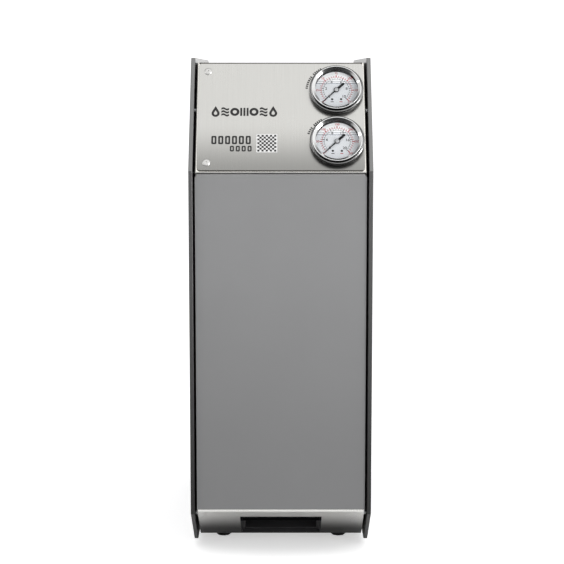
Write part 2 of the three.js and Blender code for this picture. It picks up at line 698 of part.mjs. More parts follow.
function addScrew(face, name, height) {
  const top = PLATE_FRONT + LAP_GAP;
  const head = turned([
    [0, top],
    [SCREW_HEAD_RADIUS, top],
    [SCREW_HEAD_RADIUS, top + 0.9],
    [SCREW_HEAD_RADIUS * 0.8, top + 1.9],
    [0, top + 2.4],
  ]);
  const shank = bar([0, 0, -8], [0, 0, top + 0.2], SCREW_SHANK_RADIUS, SMALL);
  const slot = block(-2.4, 2.4, -0.45, 0.45, top + 1.2, top + 4);
  const cross = joined(slot, slot.rotate([0, 0, 90])).rotate([0, 0, 12]);
  const screw = joined(head, shank).subtract(cross).translate([SCREW_X, height, 0]);
  addPiece(face, name, screw, "chrome");
}

function drilled(sheet, depth) {
  let plate = sheet;
  for (const height of GAUGE_HEIGHTS) {
    plate = plate.subtract(bar([GAUGE_X, height, -depth], [GAUGE_X, height, depth], CASE_RADIUS + 0.5, FINE));
  }
  for (const height of SCREW_HEIGHTS) {
    plate = plate.subtract(
      bar([SCREW_X, height, -depth], [SCREW_X, height, depth], SCREW_SHANK_RADIUS + LAP_GAP, SMALL)
    );
  }
  return plate;
}

function addControlFace(unit) {
  const face = new THREE.Group();
  face.position.set(0, FACE_Y, CONTROL_BEND_Z);
  face.rotation.x = CONTROL_ANGLE;

  const flangeX = WALL_INNER_X - LAP_GAP;
  const flange = block(-flangeX, flangeX, 0, 10, -SHEET, 0);
  const sheet = block(-BODY_X, BODY_X, 0, CONTROL_LENGTH, -SHEET, 0);
  const leaned = flange.rotate([-THREE.MathUtils.radToDeg(CONTROL_ANGLE), 0, 0]);
  addPiece(face, "control_housing", drilled(sheet.add(leaned), 5), "brushed_steel");

  const inset = CONTROL_PLATE_INSET;
  const outline = roundedRectangle(
    -BODY_X + inset,
    BODY_X - inset,
    CONTROL_PLATE_LIFT,
    CONTROL_LENGTH - inset,
    CONTROL_PLATE_RADIUS
  );
  addPiece(face, "control_plate", drilled(plateOf(outline, PLATE_BACK, PLATE_FRONT), 5), "brushed_steel");

  addScrew(face, "control_screw_lower", SCREW_HEIGHTS[0]);
  addScrew(face, "control_screw_upper", SCREW_HEIGHTS[1]);
  addGauge(face, "lower_gauge", GAUGE_HEIGHTS[0]);
  addGauge(face, "upper_gauge", GAUGE_HEIGHTS[1]);
  unit.add(face);
}

// How far the lower gauge's bezel reaches to the front. The rear ports reach as far back.
function frontReach() {
  const hubY = FACE_Y + GAUGE_HEIGHTS[0] * Math.cos(CONTROL_ANGLE);
  const reaches = bezelProfile().map(
    ([radius, z]) => hubY - z * Math.sin(CONTROL_ANGLE) - radius * Math.cos(CONTROL_ANGLE)
  );
  return -Math.min(...reaches);
}

// ---------------------------------------------------------------- water treatment

function addFilterShelf(unit) {
  const x = WALL_INNER_X - LAP_GAP;
  const shelf = joined(
    block(-x, x, FILTER_Y - 34, FILTER_Y + 42, SHELF_Z, SHELF_Z + 2),
    block(-x, -x + 2, FILTER_Y - 34, FILTER_Y + 42, SHELF_Z - 18, SHELF_Z + 2),
    block(x - 2, x, FILTER_Y - 34, FILTER_Y + 42, SHELF_Z - 18, SHELF_Z + 2)
  );
  addPiece(unit, "filter_shelf", shelf, "brushed_steel");
}

// A filter head: a collar with a bayonet groove, entry slots for the cartridge's two lugs and two stubs.
function filterHead() {
  const top = SHELF_Z - LAP_GAP;
  const mouth = CARTRIDGE_TOP_Z + 4;
  const grooveTop = CARTRIDGE_TOP_Z + 22;
  let head = joined(
    bar([0, 0, mouth], [0, 0, top], HEAD_RADIUS, ROUND),
    bar([0, 0, top - 11], [0, HEAD_RADIUS + 8, top - 11], 7, SMALL)
  );
  head = head.subtract(bar([0, 0, mouth - 1], [0, 0, grooveTop + 6], NECK_RADIUS + 0.6, FINE));
  head = head.subtract(bar([0, 0, grooveTop - 9], [0, 0, grooveTop], LUG_RADIUS + 0.8, FINE));
  const entry = block(-LUG_RADIUS - 0.8, LUG_RADIUS + 0.8, -7, 7, mouth - 1, grooveTop - 4);
  return head.subtract(entry.rotate([0, 0, 60]));
}

function cartridge() {
  const neckTop = CARTRIDGE_TOP_Z + 26;
  const lugBottom = CARTRIDGE_TOP_Z + 14;
  const body = turned(
    [
      [0, CARTRIDGE_BOTTOM_Z],
      [CARTRIDGE_RADIUS - 12, CARTRIDGE_BOTTOM_Z],
      [CARTRIDGE_RADIUS - 3, CARTRIDGE_BOTTOM_Z + 5],
      [CARTRIDGE_RADIUS, CARTRIDGE_BOTTOM_Z + 14],
      [CARTRIDGE_RADIUS, CARTRIDGE_TOP_Z - 10],
      [CARTRIDGE_RADIUS - 3, CARTRIDGE_TOP_Z],
      [NECK_RADIUS, CARTRIDGE_TOP_Z],
      [NECK_RADIUS, neckTop],
      [0, neckTop],
    ],
    FINE
  );
  return body.add(block(-LUG_RADIUS, LUG_RADIUS, -5, 5, lugBottom, lugBottom + 6));
}

function addFilters(unit) {
  addFilterShelf(unit);
  for (const [side, x] of [["left", -FILTER_X], ["right", FILTER_X]]) {
    const place = [x, FILTER_Y, 0];
    addPiece(unit, `filter_head_${side}`, filterHead().translate(place), "white_plastic");
    addPiece(unit, `filter_cartridge_${side}`, cartridge().translate(place), side === "left" ? "white_plastic" : "blue_plastic");
  }
}

function membraneHousing() {
  const capHeight = 34;
  const bottom = MEMBRANE_BOTTOM_Z;
  const top = MEMBRANE_TOP_Z;
  const tank = turned([
    [0, bottom],
    [MEMBRANE_RADIUS - 6, bottom],
    [MEMBRANE_CAP_RADIUS, bottom + 8],
    [MEMBRANE_CAP_RADIUS, bottom + capHeight],
    [MEMBRANE_RADIUS, bottom + capHeight],
    [MEMBRANE_RADIUS, top - capHeight],
    [MEMBRANE_CAP_RADIUS, top - capHeight],
    [MEMBRANE_CAP_RADIUS, top - 8],
    [MEMBRANE_RADIUS - 6, top],
    [0, top],
  ]);
  const upperStub = bar([0, 0, top - 1], [0, 0, top + 12], 8, SMALL);
  const lowerStub = bar([0, 0, bottom - 12], [0, 0, bottom + 1], 8, SMALL);
  return joined(tank, upperStub, lowerStub);
}

function addMembranes(unit) {
  const x = WALL_INNER_X - LAP_GAP;
  let clamp = block(-x, x, -128, 62, 345, 348);
  for (const [name, [cx, cy]] of Object.entries(MEMBRANES)) {
    addPiece(unit, name, membraneHousing().translate([cx, cy, 0]), "white_plastic");
    clamp = clamp.subtract(bar([cx, cy, 340], [cx, cy, 353], MEMBRANE_RADIUS + 0.5, ROUND));
  }
  addPiece(unit, "membrane_clamp", clamp, "brushed_steel");
}

// ---------------------------------------------------------------- motor and pump

function alongY(radius, y0, y1, segments = ROUND) {
  return bar([0, y0, MOTOR_Z], [0, y1, MOTOR_Z], radius, segments);
}

function addMotor(unit) {
  const foot = block(-45, 45, MOTOR_FRONT_Y + 30, MOTOR_REAR_Y - 40, BODY_BOTTOM_Z + SHEET + LAP_GAP, 45);
  const shell = joined(alongY(MOTOR_RADIUS, MOTOR_FRONT_Y, MOTOR_REAR_Y), foot);
  const cavity = alongY(MOTOR_RADIUS - MOTOR_WALL, MOTOR_FRONT_Y + 8, MOTOR_REAR_Y + 1);
  const shaftHole = alongY(SHAFT_RADIUS + RUNNING_GAP + 0.1, MOTOR_FRONT_Y - 1, MOTOR_FRONT_Y + 9);
  addPiece(unit, "motor_case", shell.subtract(cavity).subtract(shaftHole), "motor_paint");

  let rotor = joined(
    alongY(SHAFT_RADIUS, PUMP_FRONT_Y + 15, MOTOR_REAR_Y - 5),
    alongY(44, MOTOR_FRONT_Y + 30, MOTOR_REAR_Y - 50),
    alongY(46, MOTOR_REAR_Y - 22, MOTOR_REAR_Y - 19)
  );
  const bladeCount = 7;
  for (let blade = 0; blade < bladeCount; blade += 1) {
    const vane = block(12, 46, MOTOR_REAR_Y - 19.5, MOTOR_REAR_Y - 7, -1, 1);
    rotor = rotor.add(vane.rotate([0, (360 * blade) / bladeCount, 0]).translate([0, 0, MOTOR_Z]));
  }
  addPiece(unit, "motor_rotor", rotor, "zinc");
}

function addPump(unit) {
  const back = MOTOR_FRONT_Y - LAP_GAP;
  const pump = joined(
    alongY(PUMP_RADIUS, PUMP_FRONT_Y, back - 12),
    alongY(PUMP_RADIUS + 10, back - 12.5, back),
    bar([-20, PUMP_FRONT_Y + 22, MOTOR_Z], [-20, PUMP_FRONT_Y + 22, MOTOR_Z + 52], 9, SMALL),
    bar([20, PUMP_FRONT_Y + 22, MOTOR_Z], [20, PUMP_FRONT_Y + 22, MOTOR_Z + 52], 9, SMALL)
  );
  const bore = alongY(SHAFT_RADIUS + RUNNING_GAP + 0.1, PUMP_FRONT_Y + 14, back + 1);
  addPiece(unit, "pump_body", pump.subtract(bore), "brass");
}

// ---------------------------------------------------------------- valves, ports and electrics

function addInletValve(unit) {
  const x = -VALVE_X;
  const y = INLET_VALVE_Y;
  const z = INLET_VALVE_Z;
  const seat = z + 8;
  const top = z + 26;
  const bore = bar([x, y, seat], [x, y, top + 32], PLUNGER_RADIUS + 0.2, SMALL);
  const body = block(x - 20, x + 20, y - 20, y + 20, z, top).subtract(bore);
  const coil = joined(
    bar([x, y, top + LAP_GAP], [x, y, top + 40], 17, ROUND),
    block(x + 10, x + 26, y - 8, y + 8, top + 10, top + 30)
  ).subtract(bore);
  const plunger = bar([x, y, seat + LAP_GAP], [x, y, top + 23], PLUNGER_RADIUS, SMALL);
  addPiece(unit, "inlet_valve_body", body, "brass");
  addPiece(unit, "inlet_valve_coil", coil, "black_plastic");
  addPiece(unit, "inlet_valve_plunger", plunger, "zinc");
}

function addRejectValve(unit) {
  const x = VALVE_X;
  const z = REJECT_VALVE_Z;
  const spindle = bar([x, 176, z], [x, REAR_Y + 8, z], 3, ROUND);
  const bore = bar([x, 174, z], [x, REAR_Y, z], 3 + RUNNING_GAP, ROUND);
  const body = joined(
    block(x - 17, x + 17, 158, 192, z - 17, z + 17),
    bar([x, 191, z], [x, REAR_Y - SHEET - LAP_GAP, z], 10, 6)
  ).subtract(bore);
  let knob = bar([x, REAR_Y + 4, z], [x, REAR_Y + 24, z], KNOB_RADIUS, ROUND);
  const flutes = 8;
  for (let flute = 0; flute < flutes; flute += 1) {
    const angle = (2 * Math.PI * flute) / flutes;
    const fx = x + (KNOB_RADIUS + 1.5) * Math.cos(angle);
    const fz = z + (KNOB_RADIUS + 1.5) * Math.sin(angle);
    knob = knob.subtract(bar([fx, REAR_Y + 3, fz], [fx, REAR_Y + 25, fz], 3.4, 8));
  }
  addPiece(unit, "reject_valve_body", body, "brass");
  addPiece(unit, "reject_valve_knob", knob.add(spindle), "black_plastic");
}

function addPorts(unit) {
  const end = frontReach();
  for (const [name, { x, radius, bore }] of Object.entries(PORTS)) {
    const port = joined(
      bar([x, REAR_Y - 14, PORT_Z], [x, end, PORT_Z], radius),
      bar([x, REAR_Y + LAP_GAP, PORT_Z], [x, REAR_Y + 9, PORT_Z], radius + 5, 6),
      bar([x, REAR_Y - 9, PORT_Z], [x, REAR_Y - SHEET - LAP_GAP, PORT_Z], radius + 4, 6)
    ).subtract(bar([x, REAR_Y - 15, PORT_Z], [x, end + 1, PORT_Z], bore));
    addPiece(unit, name, port, "brass");
  }
}

function addHoses(unit) {
  const portEnd = REAR_Y - 15;
  const feed = hose(
    [
      [-VALVE_X, portEnd, PORT_Z],
      [-VALVE_X, portEnd - 6, PORT_Z],
      [-VALVE_X, INLET_VALVE_Y + 6, PORT_Z + 12],
      [-VALVE_X, INLET_VALVE_Y, PORT_Z + 45],
      [-VALVE_X, INLET_VALVE_Y, INLET_VALVE_Z - 8],
      [-VALVE_X, INLET_VALVE_Y, INLET_VALVE_Z - 1],
    ],
    HOSE_RADIUS,
    HOSE_BORE
  );
  const drain = hose(
    [
      [VALVE_X, 175, REJECT_VALVE_Z - 18],
      [VALVE_X, 175, REJECT_VALVE_Z - 26],
      [VALVE_X, 166, PORT_Z + 60],
      [VALVE_X, 160, PORT_Z + 26],
      [VALVE_X, portEnd - 14, PORT_Z + 2],
      [VALVE_X, portEnd - 6, PORT_Z],
      [VALVE_X, portEnd, PORT_Z],
    ],
    HOSE_RADIUS,
    HOSE_BORE
  );
  addPiece(unit, "feed_hose", feed, "blue_plastic");
  addPiece(unit, "drain_hose", drain, "black_plastic");
}

function addControllerBox(unit) {
  const box = joined(block(-70, 70, 92, 150, 420, 545), block(-60, 60, 150, 158, 430, 535));
  addPiece(unit, "controller_box", box, "white_plastic");
}

function addPowerInlet(unit) {
  const front = REAR_Y + LAP_GAP;
  let inlet = joined(
    block(POWER_X - 24, POWER_X + 24, front, front + 2.5, POWER_Z - 15, POWER_Z + 15),
    block(POWER_X - 14, POWER_X + 14, REAR_Y - 24, front + 1, POWER_Z - 10, POWER_Z + 10)
  ).subtract(block(POWER_X - 12, POWER_X + 12, REAR_Y - 16, front + 4, POWER_Z - 8, POWER_Z + 8));
  for (const [dx, dz] of [[-7, -2], [0, 2], [7, -2]]) {
    const pin = block(POWER_X + dx - 1, POWER_X + dx + 1, REAR_Y - 17, front - 1, POWER_Z + dz - 2, POWER_Z + dz + 2);
    inlet = inlet.add(pin);
  }
  addPiece(unit, "power_inlet", inlet, "black_plastic");
}

// The rocker turns on a pin across X, and its face is a shallow vee, so one half always stands proud.
function addSwitch(unit) {
  const front = REAR_Y + LAP_GAP;
  const frame = joined(
    block(SWITCH_X - 12.5, SWITCH_X + 12.5, front, front + 2, POWER_Z - 16.5, POWER_Z + 16.5),
    block(SWITCH_X - 9.5, SWITCH_X + 9.5, REAR_Y - 20, front + 1, POWER_Z - 13.5, POWER_Z + 13.5)
  ).subtract(block(SWITCH_X - 7.6, SWITCH_X + 7.6, REAR_Y - 17, front + 3, POWER_Z - 12.2, POWER_Z + 12.2));
  addPiece(unit, "switch_frame", frame, "black_plastic");

  const rocker = acrossX(
    [
      [-7, -4],
      [2.2, -11],
      [3.8, -11],
      [2.4, 0],
      [3.8, 11],
      [2.2, 11],
      [-7, 4],
    ],
    -7,
    7
  );
  const turn = rocker.rotate([THREE.MathUtils.radToDeg(ROCKER_REST), 0, 0]);
  addPiece(unit, "switch_rocker", turn.translate([SWITCH_X, REAR_Y - 1, POWER_Z]), "black_plastic");
}

// ---------------------------------------------------------------- assembly

const unit = new THREE.Group();
addSidePlates(unit);
addSpacers(unit);
addWalls(unit);
addBasePan(unit);
addTopCover(unit);
addRearPanel(unit);
addFeet(unit);
addControlFace(unit);
addDoorSkin(unit);
addDoorTray(unit);
addGripCup(unit);
addHingeRail(unit);
addHingeRod(unit);
addFilters(unit);
addMembranes(unit);
addMotor(unit);
addPump(unit);
addInletValve(unit);
addRejectValve(unit);
addPorts(unit);
addHoses(unit);
addControllerBox(unit);
addPowerInlet(unit);
addSwitch(unit);

export default unit;
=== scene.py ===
"""Looks for a tall narrow reverse osmosis unit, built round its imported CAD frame.

Lengths are in millimetres, except in the studio at the end, which is in metres like the scene.
"""

import json
import math

import bmesh
import bpy
from mathutils import Matrix, Vector


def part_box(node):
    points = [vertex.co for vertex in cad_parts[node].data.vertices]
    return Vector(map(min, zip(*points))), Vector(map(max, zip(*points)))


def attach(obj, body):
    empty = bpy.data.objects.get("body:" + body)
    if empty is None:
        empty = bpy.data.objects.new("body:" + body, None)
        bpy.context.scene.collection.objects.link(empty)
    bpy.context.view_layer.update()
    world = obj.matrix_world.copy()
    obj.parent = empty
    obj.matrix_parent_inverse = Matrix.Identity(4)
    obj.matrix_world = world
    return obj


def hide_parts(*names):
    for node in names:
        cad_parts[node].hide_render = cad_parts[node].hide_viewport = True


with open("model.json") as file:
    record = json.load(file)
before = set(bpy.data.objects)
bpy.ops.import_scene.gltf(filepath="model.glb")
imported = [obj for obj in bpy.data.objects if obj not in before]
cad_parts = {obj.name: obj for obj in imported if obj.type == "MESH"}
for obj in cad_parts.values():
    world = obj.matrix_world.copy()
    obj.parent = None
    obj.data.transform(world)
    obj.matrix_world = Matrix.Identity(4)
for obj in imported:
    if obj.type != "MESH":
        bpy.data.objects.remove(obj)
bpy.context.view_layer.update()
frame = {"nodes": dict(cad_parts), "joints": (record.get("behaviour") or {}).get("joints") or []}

MM = 0.001  # lengths in this script are in millimetres; meshes and matrices are in metres
JOINTS = {joint["name"]: joint for joint in frame["joints"]}
SCENE = bpy.context.scene


# ------------------------------------------------------------------ places from the frame


def box(node):
    """Lowest and highest corner of a CAD node."""
    return [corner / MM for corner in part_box(node)]


def node_middle(node):
    low, high = box(node)
    return (low + high) / 2, low, high


def local_span(node, matrix):
    """Lowest and highest corner of a CAD node, along the axes of matrix."""
    inverse = matrix.inverted()
    points = [inverse @ vertex.co for vertex in frame["nodes"][node].data.vertices]
    return [Vector([pick(point[axis] for point in points) for axis in range(3)]) / MM for pick in (min, max)]


def axes_matrix(origin, *axes):
    """A frame from its three axes, with its origin in metres."""
    matrix = Matrix([[axis[row] for axis in axes] for row in range(3)]).to_4x4()
    matrix.translation = origin
    return matrix


def slope_matrix(origin, normal):
    """A frame on a sloping face: X across the object, Y up or along the slope, Z out of the face."""
    across = Vector((1, 0, 0))
    return axes_matrix(origin, across, normal.cross(across), normal)


def on_normal(origin, normal):
    """A frame on any face: Z out of it, X level."""
    side = Vector((0, 0, 1)).cross(normal).normalized()
    return axes_matrix(origin, side, normal.cross(side), normal)


def face_normal(node, towards):
    """The normal of the node's largest flat face that looks towards a direction."""
    polygons = frame["nodes"][node].data.polygons
    facing = [polygon for polygon in polygons if polygon.normal.dot(towards) > 0.8]
    return max(facing, key=lambda polygon: polygon.area).normal.copy()


def hub_of(joint):
    place = Vector(JOINTS[joint]["pos_m"])
    return slope_matrix(place, -Vector(JOINTS[joint]["axis"]).normalized())


def lowest_front_corner(node):
    """The (Y, Z) of a node's front-most vertex on its bottom edge."""
    low = box(node)[0].z
    points = [vertex.co / MM for vertex in frame["nodes"][node].data.vertices]
    front = min((point for point in points if point.z < low + 0.1), key=lambda point: point.y)
    return front.y, front.z


def at(x, y, z):
    return Matrix.Translation((x * MM, y * MM, z * MM))


def spun(share):
    """A turn about Z by a share of the full circle."""
    return Matrix.Rotation(2 * math.pi * share, 4, "Z")


def point_on(matrix, x, y, z):
    """Where a point of matrix's own frame lies in the shared frame."""
    return matrix @ (Vector((x, y, z)) * MM) / MM


def on_face(hub):
    """A gauge hub's (X, Y) on the control face."""
    centre = FACE.inverted() @ hub.translation / MM
    return centre.x, centre.y


UPPER_HUB = hub_of("upper_gauge_pointer")
LOWER_HUB = hub_of("lower_gauge_pointer")
FACE = LOWER_HUB.copy()
FACE.translation = LOWER_HUB @ Vector((-LOWER_HUB.translation.x, 0, 0))
PLATE_LOW, PLATE_HIGH = local_span("control_plate", FACE)
HOUSING_LOW, HOUSING_HIGH = local_span("control_housing", FACE)
# Where the control face bends down into the front, up its own slope
BEND = HOUSING_HIGH.y - (PLATE_HIGH.y - PLATE_LOW.y) - (PLATE_LOW.x - HOUSING_LOW.x) - 1.2
SKIN_LOW, SKIN_HIGH = box("door_skin")
TRAY_HIGH = box("door_tray")[1]
REAR_SKIN = box("rear_panel")[1].y
HINGE = Vector(JOINTS["door_hinge"]["pos_m"]) / MM
SHAFT_Z = JOINTS["pump_shaft"]["pos_m"][2] / MM
GAUGE_HOLE = 30.4
SHAFT_HOLE = 8.3


# ------------------------------------------------------------------ mesh helpers


def fillet(points, radii, steps=5, loop=True):
    """A 2-D outline with its corners rounded by arcs. radii is one number, or one for each corner."""
    if not isinstance(radii, (list, tuple)):
        radii = [radii] * len(points)
    corners = [Vector(point) for point in points]
    rounded = []
    for index, corner in enumerate(corners):
        radius = radii[index]
        ends = not loop and index in (0, len(corners) - 1)
        if radius <= 0 or ends:
            rounded.append(corner)
            continue
        before = (corners[index - 1] - corner).normalized()
        after = (corners[(index + 1) % len(corners)] - corner).normalized()
        half = before.angle(after) / 2
        if abs(math.pi / 2 - half) < 1e-3:
            rounded.append(corner)
            continue
        centre = corner + (before + after).normalized() * (radius / math.sin(half))
        start = corner + before * (radius / math.tan(half)) - centre
        end = corner + after * (radius / math.tan(half)) - centre
        first = math.atan2(start.y, start.x)
        sweep = math.remainder(math.atan2(end.y, end.x) - first, 2 * math.pi)
        for step in range(steps + 1):
            rounded.append(centre + Vector(polar(radius, first + sweep * step / steps)))
    return rounded


def polar(radius, turn):
    return radius * math.cos(turn), radius * math.sin(turn)


def circle(x, y, radius, count=48):
    points = [polar(radius, 2 * math.pi * index / count) for index in range(count)]
    return [(x + right, y + up) for right, up in points]


def rectangle(x0, x1, y0, y1, radius=0.0, steps=5):
    corners = [(x0, y0), (x1, y0), (x1, y1), (x0, y1)]
    return fillet(corners, radius, steps) if radius > 0 else [Vector(corner) for corner in corners]


def mesh_from(work, name="mesh", weld=True):
    if weld:
        bmesh.ops.remove_doubles(work, verts=work.verts, dist=1e-6)
    bmesh.ops.recalc_face_normals(work, faces=work.faces)
    mesh = bpy.data.meshes.new(name)
    work.to_mesh(mesh)
    work.free()
    return mesh


def linked(data):
    """An object for a mesh or a curve, in the scene."""
    holder = bpy.data.objects.new(data.name, data)
    SCENE.collection.objects.link(holder)
    return holder


def baked(data, modify=None):
    """The mesh of a curve, or of a mesh after the modifiers that modify(object) adds."""
    holder = linked(data)
    if modify:
        modify(holder)
    view = bpy.context.evaluated_depsgraph_get()
    view.update()
    result = bpy.data.meshes.new_from_object(holder.evaluated_get(view))
    bpy.data.objects.remove(holder)
    return result


def face_weighted(holder):
    """Keeps broad flat faces flat in the shading beside their rounded edges."""
    holder.modifiers.new("face_weighted", "WEIGHTED_NORMAL").keep_sharp = True


def softened(mesh, width, segments=2, degrees=35):
    """The mesh with its sharp edges rounded off."""

    def modify(holder):
        bevel = holder.modifiers.new("bevel", "BEVEL")
        bevel.width = width * MM
        bevel.segments = segments
        bevel.limit_method = "ANGLE"
        bevel.angle_limit = math.radians(degrees)
        bevel.use_clamp_overlap = True

    return baked(mesh, modify) if width > 0 else mesh


def without(mesh, *cutters):
    """The mesh with other meshes cut out of it."""
    for cutter in cutters:
        tool = linked(cutter)

        def modify(holder):
            cut = holder.modifiers.new("cut", "BOOLEAN")
            cut.operation = "DIFFERENCE"
            cut.solver = "EXACT"
            cut.object = tool

        mesh = baked(mesh, modify)
        bpy.data.objects.remove(tool)
    return mesh


def merged(*meshes):
    """One mesh with the separate shells of several."""
    work = bmesh.new()
    for mesh in meshes:
        work.from_mesh(mesh)
    mesh = bpy.data.meshes.new("merged")
    work.to_mesh(mesh)
    work.free()
    return mesh


def moved(mesh, matrix):
    mesh.transform(matrix)
    if matrix.determinant() < 0:
        mesh.flip_normals()
    return mesh


def shifted(mesh, x=0.0, y=0.0, z=0.0):
    return moved(mesh, at(x, y, z))


def circled(count, make, offset=0.0):
    """Copies of what make() builds, evenly turned about Z, as one mesh."""
    return merged(*[moved(make(), spun((index + offset) / count)) for index in range(count)])


def plate(loops, z0, z1, bevel=0.0, segments=2):
    """A flat plate from an outer loop and hole loops, between two heights, with rounded edges."""
    curve = bpy.data.curves.new("outline", "CURVE")
    curve.dimensions = "2D"
    curve.fill_mode = "BOTH"
    curve.extrude = (z1 - z0) / 2 * MM
    for loop in loops:
        spline = curve.splines.new("POLY")
        spline.points.add(len(loop) - 1)
        for point, (x, y) in zip(spline.points, loop):
            point.co = (x * MM, y * MM, 0, 1)
        spline.use_cyclic_u = True
    work = bmesh.new()
    work.from_mesh(baked(curve))
    bmesh.ops.remove_doubles(work, verts=work.verts, dist=1e-7)
    bmesh.ops.dissolve_limit(work, angle_limit=math.radians(0.5), verts=work.verts, edges=work.edges)
    bmesh.ops.translate(work, verts=work.verts, vec=(0, 0, (z0 + z1) / 2 * MM))
    return softened(mesh_from(work), bevel, segments)


def ring(x, y, outer, inner, z0, z1, bevel=0.0, count=48):
    """A flat ring about a point."""
    return plate([circle(x, y, outer, count), circle(x, y, inner, count)], z0, z1, bevel)


ACROSS = Matrix(((0, 0, 1, 0), (1, 0, 0, 0), (0, 1, 0, 0), (0, 0, 0, 1)))
UPRIGHT = Matrix(((1, 0, 0, 0), (0, 0, 1, 0), (0, 1, 0, 0), (0, 0, 0, 1)))
REAR = Matrix(((-1, 0, 0, 0), (0, 0, 1, 0), (0, 1, 0, 0), (0, 0, 0, 1)))


def across(loops, x0, x1, bevel=0.0, segments=2):
    """A plate whose loops are (Y, Z) points, carried across X."""
    return moved(plate(loops, x0, x1, bevel, segments), ACROSS)


def block(low, high, bevel=0.5, segments=2):
    work = bmesh.new()
    size = (Vector(high) - Vector(low)) * MM
    middle = (Vector(high) + Vector(low)) * MM / 2
    bmesh.ops.create_cube(work, size=1, matrix=Matrix.Translation(middle) @ Matrix.Diagonal((*size, 1)))
    return softened(mesh_from(work), bevel, segments)


def revolve(profile, segments=72, loop=False):
    """A turned mesh about Z from (radius, z) points."""
    work = bmesh.new()
    rings = []
    for radius, z in profile:
        if radius < 1e-4:
            rings.append([work.verts.new((0, 0, z * MM))])
            continue
        turns = [2 * math.pi * index / segments for index in range(segments)]
        rings.append([work.verts.new((*polar(radius * MM, turn), z * MM)) for turn in turns])
    pairs = list(zip(rings, rings[1:]))
    if loop:
        pairs.append((rings[-1], rings[0]))
    for low, high in pairs:
        for index in range(segments):
            after = (index + 1) % segments
            corners = []
            for ends, order in ((low, (index, after)), (high, (after, index))):
                places = (0,) if len(ends) == 1 else order
                corners += [ends[place] for place in places]
            if len(corners) >= 3:
                work.faces.new(corners)
    return mesh_from(work, "turned", weld=False)


def turned(points, radius=0.0, segments=72, steps=3, loop=False):
    """A turned mesh whose profile corners are rounded by one radius."""
    profile = fillet(points, radius, steps, loop) if radius > 0 else points
    return revolve(profile, segments, loop)


def rod(radius, z0, z1, soft, segments=48, bore=0.0, steps=3):
    """A turned cylinder between two heights, or a sleeve if it has a bore."""
    points = [(bore, z0), (radius, z0), (radius, z1), (bore, z1)]
    return turned(points, soft, segments, steps, loop=bore > 0)


def aimed(start, direction):
    """A matrix that takes Z to a direction, at a start point."""
    return at(*start) @ Vector(direction).to_track_quat("Z", "Y").to_matrix().to_4x4()


def tube(points, radius, resolution):
    """A round rod along straight runs between points."""
    curve = bpy.data.curves.new("path", "CURVE")
    curve.dimensions = "3D"
    curve.bevel_depth = radius * MM
    curve.bevel_resolution = resolution
    curve.use_fill_caps = True
    curve.resolution_u = 10
    spline = curve.splines.new("POLY")
    spline.points.add(len(points) - 1)
    for knot, point in zip(spline.points, points):
        knot.co = (*(point * MM), 1)
    work = bmesh.new()
    work.from_mesh(baked(curve))
    return mesh_from(work)


def add(name, mesh, look, matrix=None, replaces=(), body="cabinet", degrees=32):
    """Puts a mesh in the scene as a piece of the object."""
    for polygon in mesh.polygons:
        polygon.use_smooth = True
    mesh.set_sharp_from_angle(angle=math.radians(degrees))
    mesh = baked(mesh, face_weighted)
    mesh.materials.clear()
    mesh.materials.append(look)
    piece = bpy.data.objects.new(name, mesh)
    SCENE.collection.objects.link(piece)
    if matrix is not None:
        piece.matrix_world = matrix
    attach(piece, body)
    if replaces:
        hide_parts(replaces)


def refined(node, bevel=0.4, segments=2, degrees=32):
    """A CAD node's shape as a clean welded mesh with rounded edges."""
    work = bmesh.new()
    work.from_mesh(frame["nodes"][node].data)
    bmesh.ops.remove_doubles(work, verts=work.verts, dist=1e-6)
    bmesh.ops.dissolve_limit(work, angle_limit=math.radians(0.5), verts=work.verts, edges=work.edges)
    mesh = mesh_from(work, node)
    mesh.materials.clear()
    return softened(mesh, bevel, segments, degrees)


def refine(node, look, bevel, segments=2, body="cabinet"):
    """Shows a CAD node as its own refined shape."""
    add(f"{node}_formed", refined(node, bevel, segments), look, None, node, body)


# ------------------------------------------------------------------ finishes


def add_node(tree, kind, inputs=None, **settings):
    """A shader node. inputs maps socket names or numbers to values or to other nodes' sockets."""
    node = tree.nodes.new(kind)
    for name, value in settings.items():
        setattr(node, name, value)
    for name, value in (inputs or {}).items():
        if isinstance(value, bpy.types.NodeSocket):
            tree.links.new(value, node.inputs[name])
        else:
            node.inputs[name].default_value = value
    return node


def rgba(colour):
    return (*colour, 1.0)


def scaled(colour, factor):
    return tuple(min(1.0, channel * factor) for channel in colour)


def mixed(tree, factor, first, second):
    """A colour between two colours."""
    return add_node(
        tree, "ShaderNodeMix", {"Factor": factor, 6: first, 7: second}, data_type="RGBA"
    ).outputs[2]


def times(tree, first, second):
    return add_node(tree, "ShaderNodeVectorMath", {0: first, 1: second}, operation="MULTIPLY").outputs[0]


def maths(tree, operation, *values):
    return add_node(tree, "ShaderNodeMath", dict(enumerate(values)), operation=operation).outputs[0]


def ranged(tree, value, start, end, low=0.0, high=1.0, smooth=False):
    """value carried from start..end to low..high."""
    return add_node(
        tree,
        "ShaderNodeMapRange",
        {"Value": value, "From Min": start, "From Max": end, "To Min": low, "To Max": high},
        interpolation_type="SMOOTHSTEP" if smooth else "LINEAR",
    ).outputs["Result"]


def noise(tree, place, scale, detail, roughness=0.5):
    settings = {"Vector": place, "Scale": scale, "Detail": detail, "Roughness": roughness}
    return add_node(tree, "ShaderNodeTexNoise", settings).outputs[0]


